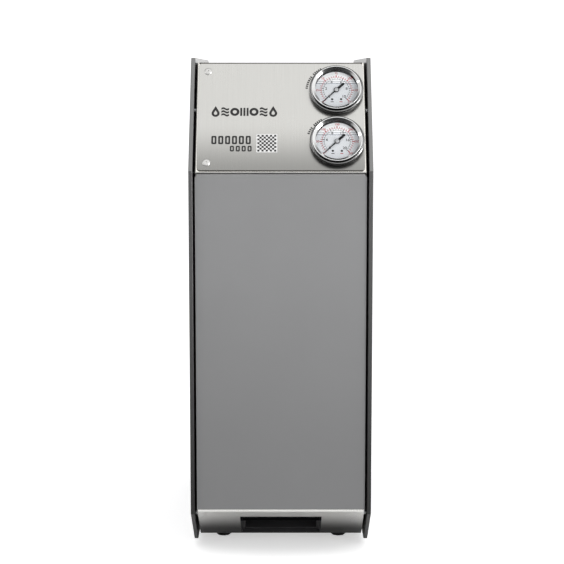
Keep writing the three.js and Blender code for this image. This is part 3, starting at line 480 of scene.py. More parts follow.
def edge_mask(tree, radius):
    """1 along edges that a bevel of this radius would round, 0 on flat faces."""
    bevel = add_node(tree, "ShaderNodeBevel", {"Radius": radius * MM}, samples=4)
    geometry = add_node(tree, "ShaderNodeNewGeometry")
    normals = {0: bevel.outputs["Normal"], 1: geometry.outputs["Normal"]}
    dot = add_node(tree, "ShaderNodeVectorMath", normals, operation="DOT_PRODUCT").outputs["Value"]
    return ranged(tree, maths(tree, "SUBTRACT", 1.0, dot), 0.01, 0.16)


def finish(
    name,
    colour,
    roughness,
    metallic=0.0,
    grain=900,
    bump=0.004,
    spread=0.08,
    tint=0.05,
    wear_and_edge_highlight=None,
    wear_and_highlight_radius=0.5,
    specular=0.5,
    grain_tint=0.0,
    painted_shade_ramp=None,
):
    """A procedural finish: broad colour patches, fine grain in roughness and bump, edges that are worn on
    most finishes and carry a painted highlight on the graphite plates, and an optional painted shade ramp
    that darkens the colour along one axis.
    """
    material = bpy.data.materials.new(name)
    material.use_nodes = True
    tree = material.node_tree
    shader = tree.nodes["Principled BSDF"]
    place = add_node(tree, "ShaderNodeTexCoord").outputs["Object"]
    grain = grain if isinstance(grain, tuple) else (grain, grain, grain)
    stretched = add_node(tree, "ShaderNodeMapping", {"Vector": place, "Scale": grain}).outputs[0]
    fine = noise(tree, stretched, 1.0, 4.0, 0.6)
    broad = noise(tree, place, 14.0, 3.0)
    blend = mixed(tree, broad, rgba(scaled(colour, 1 - tint)), rgba(scaled(colour, 1 + tint)))
    if grain_tint > 0:
        blend = times(tree, blend, ranged(tree, fine, 0.3, 0.7, 1 - grain_tint, 1 + grain_tint))
    # Painted shade: the colour darkens along one axis, towards where less light falls on the surface.
    if painted_shade_ramp is not None:
        axis, start, end, lowest = painted_shade_ramp
        split = add_node(tree, "ShaderNodeSeparateXYZ", {0: place}).outputs[axis]
        blend = times(tree, blend, ranged(tree, split, start * MM, end * MM, lowest, smooth=True))
    # Edge colour: real wear on most finishes, a painted highlight along the graphite plates' rounded edges.
    if wear_and_edge_highlight is not None:
        mask = edge_mask(tree, wear_and_highlight_radius)
        blend = mixed(tree, maths(tree, "MULTIPLY", mask, broad), blend, rgba(wear_and_edge_highlight))
    tree.links.new(blend, shader.inputs["Base Color"])
    uneven = maths(tree, "ADD", fine, broad)
    rough = ranged(tree, uneven, 0.6, 1.4, max(0.02, roughness - spread), roughness + spread)
    tree.links.new(rough, shader.inputs["Roughness"])
    relief = add_node(tree, "ShaderNodeBump", {"Height": fine, "Distance": bump * MM, "Strength": 1.0})
    tree.links.new(relief.outputs[0], shader.inputs["Normal"])
    shader.inputs["Metallic"].default_value = metallic
    shader.inputs["Specular IOR Level"].default_value = specular
    return material


def shade_below(material, lowest, start=-0.22, end=0.12):
    """Darkens a mirror finish where it reflects what lies below the horizon."""
    tree = material.node_tree
    shader = tree.nodes["Principled BSDF"]
    colour = shader.inputs["Base Color"].links[0].from_socket
    mirrored = add_node(tree, "ShaderNodeTexCoord").outputs["Reflection"]
    height = add_node(tree, "ShaderNodeSeparateXYZ", {0: mirrored}).outputs["Z"]
    dark = times(tree, colour, ranged(tree, height, start, end, lowest, smooth=True))
    tree.links.new(dark, shader.inputs["Base Color"])


def glass(name, tint, gloss, smear):
    """Thin clear glass: see-through, with a fresnel reflection and faint smears."""
    material = bpy.data.materials.new(name)
    material.use_nodes = True
    tree = material.node_tree
    tree.nodes.remove(tree.nodes["Principled BSDF"])
    place = add_node(tree, "ShaderNodeTexCoord").outputs["Object"]
    rough = ranged(tree, noise(tree, place, 90.0, 3.0), 0.45, 0.75, 0.01, smear)
    clear = add_node(tree, "ShaderNodeBsdfTransparent", {"Color": rgba(tint)})
    shine = add_node(tree, "ShaderNodeBsdfGlossy", {"Color": (1, 1, 1, 1), "Roughness": rough})
    edge = add_node(tree, "ShaderNodeLayerWeight", {"Blend": gloss}).outputs["Fresnel"]
    blend = add_node(tree, "ShaderNodeMixShader", {0: edge, 1: clear.outputs[0], 2: shine.outputs[0]})
    tree.links.new(blend.outputs[0], tree.nodes["Material Output"].inputs["Surface"])
    return material


STEEL_COLOUR = (0.66, 0.655, 0.635)
ALONG_Y = (2600, 14, 2600)
ALONG_X = (14, 2600, 2600)
ALONG_Z = (2600, 2600, 14)

BRUSHED = finish(
    "brushed_steel", STEEL_COLOUR, 0.3, 1.0, ALONG_Z, spread=0.07, tint=0.03,
    wear_and_edge_highlight=(0.86, 0.85, 0.82), grain_tint=0.05,
)
# Painted shade: the control plate's steel darkens towards its foot (local Y 30 to -44 mm, down to 48%).
BRUSHED_FACE = finish(
    "brushed_face", (0.62, 0.615, 0.595), 0.3, 1.0, ALONG_Y, spread=0.06, tint=0.03,
    wear_and_edge_highlight=(0.86, 0.85, 0.82), grain_tint=0.05, painted_shade_ramp=("Y", -44, 30, 0.48),
)
# Painted highlight: the housing steel is coloured far paler than the plate's steel, so its margins and folded
# edges show as bright lines of light.
HOUSING_FACE = finish(
    "brushed_margin", (0.94, 0.92, 0.87), 0.26, 1.0, ALONG_Y, spread=0.06, tint=0.03,
    wear_and_edge_highlight=(0.9, 0.89, 0.86), grain_tint=0.04,
)
# The liner stands for bare steel; its near-white, mostly diffuse colour is a painted reflection of the bright
# surround.
LINER = finish(
    "plate_liner", (0.94, 0.94, 0.93), 0.42, 0.15, ALONG_Z, tint=0.03, grain_tint=0.04,
)
# Painted shade: near-black steel for the shadow line round the control plate and the dark fold at the
# housing's top.
PAINTED_SHADE_STEEL = finish(
    "shaded_steel", (0.085, 0.077, 0.07), 0.32, 1.0, ALONG_X, spread=0.06, grain_tint=0.06,
)
# Painted reflection and shade: the undercut steel is coloured far paler than the other steel and darkens to
# 6% towards its foot (Z 60 to 24 mm), where it faces the shaded floor under the cabinet.
TRAY_FACE = finish(
    "brushed_undercut", (0.96, 0.95, 0.92), 0.3, 1.0, ALONG_Z, spread=0.07, tint=0.03,
    grain_tint=0.05, painted_shade_ramp=("Z", 24, 60, 0.06),
)
HOUSING_LIP = finish(
    "brushed_lip", (0.82, 0.81, 0.78), 0.2, 1.0, ALONG_X, spread=0.05, tint=0.03,
    grain_tint=0.04,
)
SCREW_STEEL = finish("screw_steel", (0.72, 0.715, 0.70), 0.38, 0.8, 1400, spread=0.07, tint=0.04)
# Painted shade: the grey panel darkens towards its foot (Z 480 to 90 mm, down to 70%).
GREY_PANEL = finish(
    "grey_panel", (0.305, 0.306, 0.308), 0.42, 0.25, 900, bump=0.006, spread=0.05, tint=0.03,
    wear_and_edge_highlight=(0.39, 0.39, 0.40), painted_shade_ramp=("Z", 90, 480, 0.70),
)
# Painted highlight: the lighter colour along the plates' rounded edges stands in for light catching them.
GRAPHITE = finish(
    "graphite", (0.250, 0.251, 0.250), 0.36, 0.85, 1400, bump=0.01, spread=0.07, tint=0.10,
    wear_and_edge_highlight=(0.38, 0.38, 0.375), wear_and_highlight_radius=0.8,
)
shade_below(GRAPHITE, 0.17, -0.30, 0.05)
BLACK_PLASTIC = finish(
    "black_plastic", (0.012, 0.012, 0.013), 0.48, 0.0, 1500, bump=0.02, spread=0.1,
    tint=0.2, wear_and_edge_highlight=(0.035, 0.035, 0.037),
)
# Painted shade: darker than the cup's plastic and almost without sheen, so the finger slot reads as a band of
# shadow.
SLOT_BLACK = finish(
    "slot_black", (0.004, 0.004, 0.0045), 0.8, 0.0, 1500, bump=0.02, spread=0.1, tint=0.2,
    specular=0.05,
)
RUBBER = finish(
    "black_rubber", (0.010, 0.010, 0.010), 0.75, 0.0, 900, bump=0.04, spread=0.1, tint=0.25,
    wear_and_edge_highlight=(0.03, 0.03, 0.03),
)
CHROME = finish(
    "chrome", (0.83, 0.835, 0.84), 0.08, 1.0, 900, bump=0.0001, spread=0.03, tint=0.02,
)
shade_below(CHROME, 0.06)
# Painted reflection: a darker copy of the chrome, for the dark reflections on the bezels' outer step.
DARK_CHROME = finish(
    "dark_chrome", (0.42, 0.42, 0.42), 0.13, 1.0, 900, bump=0.0001, spread=0.03, tint=0.02,
)
shade_below(DARK_CHROME, 0.10)
ZINC = finish(
    "zinc", (0.62, 0.63, 0.64), 0.27, 1.0, 1800, bump=0.005, spread=0.09, tint=0.10,
    wear_and_edge_highlight=(0.8, 0.8, 0.8),
)
PRINT = finish("black_print", (0.014, 0.014, 0.014), 0.5, 0.0, 2200, spread=0.1, tint=0.3)
DIAL_WHITE = finish(
    "dial_white", (0.92, 0.93, 0.94), 0.45, 0.0, 1200, bump=0.002, spread=0.06, tint=0.012,
)
RED_PRINT = finish("red_print", (0.50, 0.035, 0.045), 0.5, 0.0, 2200, spread=0.1, tint=0.2)
POINTER = finish(
    "pointer_black", (0.012, 0.012, 0.013), 0.35, 0.0, 1800, tint=0.2,
    wear_and_edge_highlight=(0.05, 0.05, 0.05), wear_and_highlight_radius=0.1,
)
LABEL = finish("pale_label", (0.80, 0.80, 0.79), 0.4, 0.0, 1500, tint=0.03)
WINDOW = glass("clear_glass", (1.0, 1.0, 1.0), 0.035, 0.05)
LIQUID = glass("gauge_liquid", (0.985, 0.99, 0.995), 0.004, 0.04)
MENISCUS = glass("gauge_meniscus", (0.68, 0.70, 0.73), 0.01, 0.04)
HUB_METAL = finish(
    "hub_metal", (0.86, 0.86, 0.86), 0.35, 0.4, 1400, bump=0.003, spread=0.05, tint=0.03,
)
WHITE_PLASTIC = finish(
    "white_plastic", (0.74, 0.75, 0.76), 0.38, 0.0, 700, bump=0.012, tint=0.03,
    wear_and_edge_highlight=(0.62, 0.62, 0.60),
)
BLUE_PLASTIC = finish(
    "blue_plastic", (0.03, 0.14, 0.42), 0.36, 0.0, 700, bump=0.012, tint=0.10,
    wear_and_edge_highlight=(0.10, 0.24, 0.55),
)
MOTOR_PAINT = finish(
    "motor_paint", (0.075, 0.082, 0.092), 0.5, 0.1, 500, bump=0.03, spread=0.1, tint=0.10,
    wear_and_edge_highlight=(0.25, 0.25, 0.26),
)
BRASS = finish(
    "brass", (0.58, 0.41, 0.18), 0.26, 1.0, 1400, bump=0.006, spread=0.09, tint=0.10,
    wear_and_edge_highlight=(0.78, 0.62, 0.34),
)


# ------------------------------------------------------------------ cabinet


def side_plates():
    for side in ("left", "right"):
        refine(f"{side}_side_plate", GRAPHITE, 1.3, 4)


def plate_liners():
    """A thin bare-steel strip on the inside of each side plate, above the top cover, coloured near white as a
    painted reflection of the bright surround.
    """
    cover_low, cover_high = box("top_cover")
    for side, towards in (("left", 1), ("right", -1)):
        low, high = box(f"{side}_side_plate")
        inner = high.x if towards > 0 else low.x
        loop = rectangle(cover_low.y + 3, high.y - 2, cover_high.z + 0.2, high.z - 0.6, 0.6)
        add(f"{side}_side_plate_liner", across([loop], *sorted((inner, inner + towards * 0.09))), LINER)


def spacers():
    for node in ("spacer_left_upper", "spacer_left_lower", "spacer_right_upper", "spacer_right_lower"):
        middle, low, high = node_middle(node)
        radius = (high.z - low.z) / 2
        length = high.x - low.x
        neck = radius * 0.72
        profile = [
            (0, 0), (radius, 0), (radius, 0.28 * length), (neck, 0.36 * length),
            (neck, 0.64 * length), (radius, 0.72 * length), (radius, length), (0, length),
        ]
        matrix = aimed((low.x, middle.y, middle.z), (1, 0, 0))
        add(f"{node}_pin", turned(profile, 0.12, 40), ZINC, matrix, node)


def sheets():
    for node in ("left_wall", "right_wall", "base_pan", "top_cover", "rear_panel"):
        refine(node, BRUSHED, 0.3)


def feet():
    for node in ("front_left_foot", "front_right_foot", "rear_left_foot", "rear_right_foot"):
        middle, low, high = node_middle(node)
        radius = (high.x - low.x) / 2
        top = high.z
        profile = [
            (0, 1.2), (3.2, 1.2), (3.2, 0), (radius - 2.2, 0), (radius - 0.8, 1.6), (radius - 0.8, 5),
            (radius - 1.4, 5.6), (radius - 0.6, 6.2), (radius, top - 1), (radius, top), (0, top),
        ]
        add(f"{node}_moulded", turned(profile, 0.35, 56), RUBBER, at(middle.x, middle.y, 0), node)


def cross_screw(name, radius, height, matrix, turn=0.2):
    """A pan head with a cross recess. Its underside is at Z 0 of matrix."""
    profile = [(0, 0), (radius, 0), (radius, 0.38 * height), (radius * 0.86, 0.82 * height), (0, height)]
    arm = radius * 0.56
    half = radius * 0.11
    slots = []
    for angle in (turn, turn + math.pi / 2):
        slot = plate([rectangle(-arm, arm, -half, half)], 0.42 * height, 1.5 * height)
        slots.append(moved(slot, Matrix.Rotation(angle, 4, "Z")))
    add(name, without(turned(profile, 0.28 * height, 56, 4), *slots), ZINC, matrix)


# ------------------------------------------------------------------ control face


def control_housing():
    """The tilted sheet: its long edges are folded back with a round bend, and it has a flange at its foot."""
    x = SKIN_HIGH.x
    fold = 3.0
    sheet = 1.5
    section = [
        (-x, -fold), (-x, 0), (x, 0), (x, -fold),
        (x - sheet, -fold), (x - sheet, -sheet), (-x + sheet, -sheet), (-x + sheet, -fold),
    ]
    bends = [0, 1.9, 1.9, 0, 0, 0.5, 0.5, 0]
    # The section's second axis points out of the face and its length runs up it.
    mesh = moved(plate([fillet(section, bends, 6)], BEND - 0.6, HOUSING_HIGH.y, 0.25), UPRIGHT)
    holes = [shifted(rod(GAUGE_HOLE, -9, 9, 0, 72), *on_face(hub)) for hub in (LOWER_HUB, UPPER_HUB)]
    add("control_housing_sheet", without(mesh, *holes), HOUSING_FACE, FACE, "control_housing")
    # The flange stays above the arc that the door skin's top corner sweeps.
    foot = point_on(FACE, 0, BEND, 0)
    clear = HINGE.z + math.hypot(HINGE.y - SKIN_LOW.y - 2, 2.2) + 2.4
    flange = block((-x + 2, foot.y + 0.5, clear), (x - 2, foot.y + 10, clear + 1.2), 0.3)
    add("control_housing_flange", flange, BRUSHED)
    # A near-black strip along the top fold: the fold is real, its dark tone is painted shade.
    seam = block((-x + 2.6, PLATE_HIGH.y + 0.2, -0.4), (x - 2.6, HOUSING_HIGH.y - 0.05, 0.35), 0.2)
    add("control_housing_top_fold_shade", seam, PAINTED_SHADE_STEEL, FACE)
    lip = block((-x + 0.3, foot.y - 0.25, foot.z - 1.5), (x - 0.3, foot.y + 1.2, foot.z + 0.2), 0.6, 4)
    add("control_housing_lip", lip, HOUSING_LIP)


def control_plate():
    """The thin plate with its two gauge holes, and a dark strip round it, painted shade for the shadow line
    along its edges.
    """
    left, right, low, high = PLATE_LOW.x, PLATE_HIGH.x, PLATE_LOW.y, PLATE_HIGH.y
    holes = [circle(*on_face(hub), GAUGE_HOLE, 72) for hub in (LOWER_HUB, UPPER_HUB)]
    mesh = plate([rectangle(left, right, low, high, 4, 8), *holes], PLATE_LOW.z, PLATE_HIGH.z, 0.35, 3)
    add("control_plate_sheet", mesh, BRUSHED_FACE, FACE, "control_plate")
    around = rectangle(left, right, low - 0.45, high + 0.8, 4.4, 8)
    within = rectangle(left + 0.1, right - 0.1, low + 0.1, high - 0.1, 4, 8)
    add("control_plate_shadow_line", plate([around, within], -0.2, PLATE_LOW.z + 0.35), PAINTED_SHADE_STEEL, FACE)


def control_screws():
    """Low, wide heads with a small hexagon socket."""
    for node, turn in (("control_screw_upper", 0.2), ("control_screw_lower", 0.75)):
        low, high = local_span(node, FACE)
        middle = (low + high) / 2
        radius = (high.x - low.x) / 2 + 0.35
        profile = [(0, 0), (radius, 0), (radius, 0.5), (radius * 0.8, 1.1), (radius * 0.45, 1.3), (0, 1.3)]
        socket = moved(plate([circle(0, 0, radius * 0.24, 6)], 0.4, 3), Matrix.Rotation(turn, 4, "Z"))
        head = without(turned(profile, 0.3, 56, 4), socket)
        add(f"{node}_head", head, SCREW_STEEL, FACE @ at(middle.x, middle.y, PLATE_HIGH.z + 0.05), node)


# ------------------------------------------------------------------ door


def offset_path(points, distance):
    """A path moved sideways to its right by a distance, corner by corner."""
    shifted_points = []
    for index, point in enumerate(points):
        before = points[max(index - 1, 0)]
        after = points[min(index + 1, len(points) - 1)]
        direction = (Vector(after) - Vector(before)).normalized()
        shifted_points.append(Vector(point) + Vector((direction.y, -direction.x)) * distance)
    return shifted_points


def door_skin():
    """The grey panel. Its top edge turns back over the tray's rolled edge."""
    front = SKIN_LOW.y
    top = HINGE.z + 4.2
    section = [(front, SKIN_LOW.z), (front, top), (HINGE.y - 1.6, top + 0.3)]
    outer = fillet(section, [0, 2.0, 0], 6, loop=False)
    inner = offset_path(outer, 0.9)
    inner[0] = Vector((SKIN_HIGH.y, SKIN_LOW.z))
    mesh = across([outer + inner[::-1]], SKIN_LOW.x, SKIN_HIGH.x, 0.25, 3)
    notches = [
        block((x0, front - 5, HINGE.z + 0.9), (x1, HINGE.y, HINGE.z + 9), 0)
        for x0, x1 in ((SKIN_LOW.x - 2, SKIN_LOW.x + 2.2), (SKIN_HIGH.x - 2.2, SKIN_HIGH.x + 2))
    ]
    add("door_skin_panel", without(mesh, *notches), GREY_PANEL, replaces="door_skin", body="door")


UNDERCUT_NORMAL = face_normal("grip_cup", Vector((0, -0.57, -0.82)))


def undercut_frame():
    """The undercut face's frame, with its origin at the face's upper bend: X across, Y up the face."""
    along = UNDERCUT_NORMAL.cross(Vector((1, 0, 0)))
    low_y, low_z = lowest_front_corner("door_tray")
    bend_z = low_z + along.z * (SKIN_LOW.y - low_y) / along.y
    return slope_matrix(Vector((0, SKIN_LOW.y, bend_z)) * MM, UNDERCUT_NORMAL)


UNDERCUT = undercut_frame()


def door_tray():
    """The stainless inner sheet: rolled top edge, flat back, round lower bend and undercut face."""
    sheet = 1.2
    face = SKIN_LOW.y
    back = SKIN_HIGH.y + 0.3
    bend_z = UNDERCUT.translation.z / MM
    top = bend_z + 2.2
    spine = [lowest_front_corner("door_tray"), (face, bend_z), (face, top)]
    spine += [(back, top + 1.4), (back, HINGE.z - 1.5)]
    outer = fillet(spine, [0, 2.0, 0.8, 0.8, 0], 6, loop=False)
    half = TRAY_HIGH.x
    mesh = across([outer + offset_path(outer, sheet)[::-1]], -half, half, 0.2)
    window = moved(block((-50.8, -81.3, -6), (50.8, -19.7, 6), 0), UNDERCUT)
    add("door_tray_sheet", without(mesh, window), TRAY_FACE, replaces="door_tray", body="door")
    add("door_tray_roll", hinge_roll(sheet), BRUSHED, body="door")
    for name, side in (("left", -1), ("right", 1)):
        inner_x = side * (half - 2.4)
        x0, x1 = sorted((inner_x, inner_x - side * sheet))
        flange = block((x0, back + 0.9, 80), (x1, back + 11, HINGE.z - 14), 0.25)
        add(f"door_tray_flange_{name}", flange, BRUSHED, body="door")


def hinge_roll(sheet):
    """The rolled top edge and its six knuckles, round the hinge rod: one on each side of the rail's three."""
    outer_radius = HINGE.y - SKIN_LOW.y
    arc = []
    for radius, order in ((outer_radius, 1), (outer_radius - sheet, -1)):
        points = [polar(radius, math.radians(76 + 114 * step / 16)) for step in range(17)]
        arc += [(HINGE.y + y, HINGE.z + z) for y, z in points[::order]]
    half = TRAY_HIGH.x - 1.1
    parts = [across([arc], -half, half, 0.2)]
    for centre in (-80, 0, 80):
        for side in (-1, 1):
            inner = centre + side * 6.5
            loops = [circle(HINGE.y, HINGE.z, 2.2, 32), circle(HINGE.y, HINGE.z, 1.3, 24)]
            parts.append(across(loops, *sorted((inner, inner + side * 10)), 0.15))
    return merged(*parts)


def grip_cup():
    """The moulded cup, with a near-black lining without sheen in the finger slot along its top, a painted
    shade for the slot's dark band.
    """
    refine("grip_cup", BLACK_PLASTIC, 0.5, 3, "door")
    half = 48.9
    top = -21.6
    low = top - 11.8
    outer = block((-half, low, -13.9), (half, top, -0.4), 0.4)
    inner = block((-half + 0.8, low + 0.8, -12.9), (half - 0.8, top - 0.8, 2), 0.4)
    rim = block((-half - 1.4, low - 0.9, -0.9), (half + 1.4, top + 1.5, 0.25), 0.3)
    slot_shade = moved(merged(without(outer, inner), without(rim, inner)), UNDERCUT)
    add("grip_slot_painted_shade", slot_shade, SLOT_BLACK, body="door")


def hinge():
    refine("hinge_rail", BRUSHED, 0.2)
    low, high = box("hinge_rod")
    pin = rod(1.2, 0, high.x - low.x, 0.3, 32)
    add("hinge_rod_pin", pin, ZINC, aimed((low.x, HINGE.y, HINGE.z), (1, 0, 0)), "hinge_rod")


# ------------------------------------------------------------------ gauges and printed marks


SWEEP = 270.0  # degrees of a dial
MARK = 0.08  # thickness of print


def lettered(text, size, x, y, z):
    """Dial figures as a thin flat mesh, centred on a point."""
    curve = bpy.data.curves.new("figure", "FONT")
    curve.body = text
    curve.size = size * MM
    curve.align_x = "CENTER"
    curve.align_y = "CENTER"
    curve.extrude = MARK / 2 * MM
    curve.resolution_u = 4
    curve.offset = size * 0.012 * MM
    mesh = baked(curve)
    mesh.materials.clear()
    return shifted(mesh, x, y, z)


def bar(x, y, width, height, z, turn=0.0):
    """A thin printed bar, centred on a point and turned about it."""
    mesh = plate([rectangle(-width / 2, width / 2, -height / 2, height / 2)], 0, MARK)
    return shifted(moved(mesh, Matrix.Rotation(turn, 4, "Z")), x, y, z)


def printed_ring(x, y, outer, inner, z):
    return ring(x, y, outer, inner, z, z + MARK)


def dot(x, y, radius, z):
    return plate([circle(x, y, radius, 24)], z, z + MARK)


def dial_turn(share):
    """The turn from straight up, anticlockwise, at a share of the dial's sweep."""
    return math.radians(SWEEP / 2 - SWEEP * share)


def ticks(count, major, inner, outer, z, short, wide, thin):
    """Ticks over the dial's sweep; every major-th one is longer and wider. The inner ends line up."""
    marks = []
    for index in range(count + 1):
        long_one = index % major == 0
        top = outer if long_one else inner + (outer - inner) * short
        turn = dial_turn(index / count)
        middle = (inner + top) / 2
        width = wide if long_one else thin
        marks.append(bar(-math.sin(turn) * middle, math.cos(turn) * middle, width, top - inner, z, turn))
    return marks


def figures(values, radius, size, z):
    turns = [dial_turn(index / (len(values) - 1)) for index in range(len(values))]
    return [
        lettered(str(value), size, -math.sin(turn) * radius, math.cos(turn) * radius, z)
        for value, turn in zip(values, turns)
    ]


def arc_line(radius, width, z):
    """A printed line along the dial's sweep."""
    turns = [math.pi / 2 + dial_turn(step / 90) for step in range(91)]
    outer = [polar(radius + width / 2, turn) for turn in turns]
    inner = [polar(radius - width / 2, turn) for turn in turns]
    return plate([outer + inner[::-1]], z, z + MARK)


def gauge(prefix, hub, black_values, red_values):
    """One liquid-filled pressure gauge: can, two-step bezel, printed dial, liquid, window and pointer."""

    def part(name, mesh, look, node=None, matrix=hub, body="cabinet"):
        add(f"{prefix}_gauge_{name}", mesh, look, matrix, node and f"{prefix}_gauge_{node}", body)

    def lathed(points, radii):
        return revolve(fillet(points, radii, 4), 128, loop=True)

    low, high = local_span(f"{prefix}_gauge_bezel", hub)
    back = low.z
    crest = high.z
    dial = local_span(f"{prefix}_gauge_dial", hub)[1]
    reach = dial.y
    face = dial.z
    glass_low, glass_high = local_span(f"{prefix}_gauge_window", hub)
    case_low, case_high = local_span(f"{prefix}_gauge_case", hub)

    pane_top = glass_high.z + 0.08
    lip = high.y - 0.55
    step = back + 5.2
    collar = [
        (30.0, back), (30.4, back + 4.2), (lip, back + 4.8), (lip, back + 6.2), (lip - 0.5, back + 6.9),
        (lip - 1.5, back + 7.3), (lip - 1.8, back + 6.8), (lip - 1.8, step), (29.2, step), (29.2, back),
    ]
    # The outer step is in the darker chrome: a painted reflection.
    part("bezel_collar", lathed(collar, [0.2, 0.1, 0.8, 0.3, 0.3, 0.2, 0.1, 0, 0, 0]), DARK_CHROME, "bezel")
    bright = [
        (lip - 2.7, step), (lip - 2.7, crest - 0.8), (lip - 3.2, crest), (lip - 4.0, crest),
        (26.3, crest - 1.9), (26.3, pane_top), (reach + 0.3, pane_top), (reach + 0.3, step),
    ]
    part("bezel_ring", lathed(bright, [0, 0.4, 0.3, 0.3, 0.2, 0, 0, 0]), CHROME)

    can = 29.8
    floor = -28
    profile = [
        (0, case_low.z), (5.2, case_low.z), (5.2, case_low.z + 8), (7, case_low.z + 8.4), (7, floor),
        (can - 3, floor), (can, floor + 3), (can, -1), (can, case_high.z), (reach + 0.35, case_high.z),
        (reach + 0.35, face - 4), (0, face - 4),
    ]
    part("can", turned(profile, 0.8, 96), BRUSHED, "case")
    part("dial_disc", rod(reach, face - 0.8, face, 0.1, 96, 1.3), DIAL_WHITE, "dial")
    cone = [
        (reach - 1.1, face + 0.05), (reach + 0.15, face + 0.05),
        (reach + 0.15, glass_low.z - 0.1), (reach - 0.35, glass_low.z - 0.1),
    ]
    part("inner_cone", turned(cone, 0.1, 96, loop=True), CHROME)

    z = face + 0.01
    black = ticks(25, 5, 15.6, 18.0, z, 0.7, 0.8, 0.42) + figures(black_values, 12.7, 5.0, z)
    black += [bar(-5.4, -16.4, 3.6, 0.9, z), dot(-5.4, -12.8, 1.4, z), dot(5.4, -12.8, 1.4, z)]
    black.append(arc_line(15.6, 0.24, z))
    red = ticks(30, 5, 18.3, 21.2, z, 0.72, 1.1, 0.62) + figures(red_values, 23.5, 3.9, z)
    red += [bar(5.4, -16.4, 3.6, 0.9, z), arc_line(18.3, 0.3, z)]
    part("black_scale", merged(*black), PRINT)
    part("red_scale", merged(*red), RED_PRINT)

    level = 7.6
    shore = reach - 0.45
    start = math.asin(level / shore)
    fill = [polar(shore, math.pi - start + (math.pi + 2 * start) * step / 60) for step in range(61)]
    top = glass_low.z - 0.06
    part("liquid", plate([fill], top - 0.22, top), LIQUID)
    for name, place, height in (("liquid_edge_1", 0.5, 0.9), ("liquid_edge_2", 3.4, 0.5)):
        half_width = math.sqrt(shore**2 - (level + place + height) ** 2)
        part(name, bar(0, level + place, 2 * half_width, height, top - 0.2), MENISCUS)
    part("window_pane", rod(reach, glass_low.z, glass_high.z, 0.15, 96), WINDOW, "window")

    pointer = hub @ Matrix.Rotation(math.radians(SWEEP / 2), 4, "Z")
    body = f"{prefix}_pointer"
    tip_low, tip_high = local_span(f"{prefix}_gauge_needle", pointer)
    blade = [
        (-0.85, 2), (-0.3, tip_high.y), (0.3, tip_high.y), (0.85, 2), (1.5, -2.5), (1.5, tip_low.y + 1),
        (1.0, tip_low.y), (-1.0, tip_low.y), (-1.5, tip_low.y + 1), (-1.5, -2.5),
    ]
    under = tip_high.z - 1.3
    crown = tip_high.z - 0.05
    stem = rod(0.9, tip_low.z, under + 0.1, 0.2, 24)
    needle = merged(plate([blade], under, under + 0.45, 0.08), stem)
    part("pointer_blade", needle, POINTER, "needle", pointer, body)
    part("pointer_collar", rod(3.3, under - 0.15, under + 0.6, 0.2), POINTER, None, pointer, body)
    cap = turned([(0, under + 0.5), (2.6, under + 0.5), (2.3, crown), (0, crown)], 0.2, 48)
    notch = block((-1.3, -0.22, tip_high.z - 0.3), (1.3, 0.22, tip_high.z + 1), 0)
    part("pointer_hub", without(cap, notch), HUB_METAL, None, pointer, body)


def captions():
    """Arcs of small plain ticks beside each gauge, in place of words."""
    radius = 36.6
    step = 0.076
    for prefix, hub, groups in (("upper", UPPER_HUB, (5, 7)), ("lower", LOWER_HUB, (5, 4))):
        marks = []
        turn = math.radians(31)
        for group in groups:
            for _ in range(group):
                x, y = -math.sin(turn) * radius, math.cos(turn) * radius
                marks.append(bar(x, y, 1.7, 2.7, PLATE_HIGH.z + 0.01, turn))
                turn += step
            turn += step * 0.9
        add(f"{prefix}_gauge_caption_ticks", merged(*marks), PRINT, hub)


def wave(x, y, width, height, stroke, z):
    """A printed wavy stroke."""
    steps = 24
    line = [
        (x - width / 2 + width * step / steps, y + math.sin(step / steps * 2 * math.pi) * height / 2)
        for step in range(steps + 1)
    ]
    upper, lower = [[(px, py + lift) for px, py in line] for lift in (stroke / 2, -stroke / 2)]
    return plate([upper + lower[::-1]], z, z + MARK)


def drop(x, y, radius, z, hollow):
    """A printed outline of a water drop, pointed at the top."""
    loops = []
    for size in (radius, radius * hollow):
        points = [polar(size, math.radians(angle)) for angle in range(150, 391, 10)]
        loops.append([*[(x + px, y + py) for px, py in points], (x, y + size * 2.1)])
    return plate(loops, z, z + MARK)


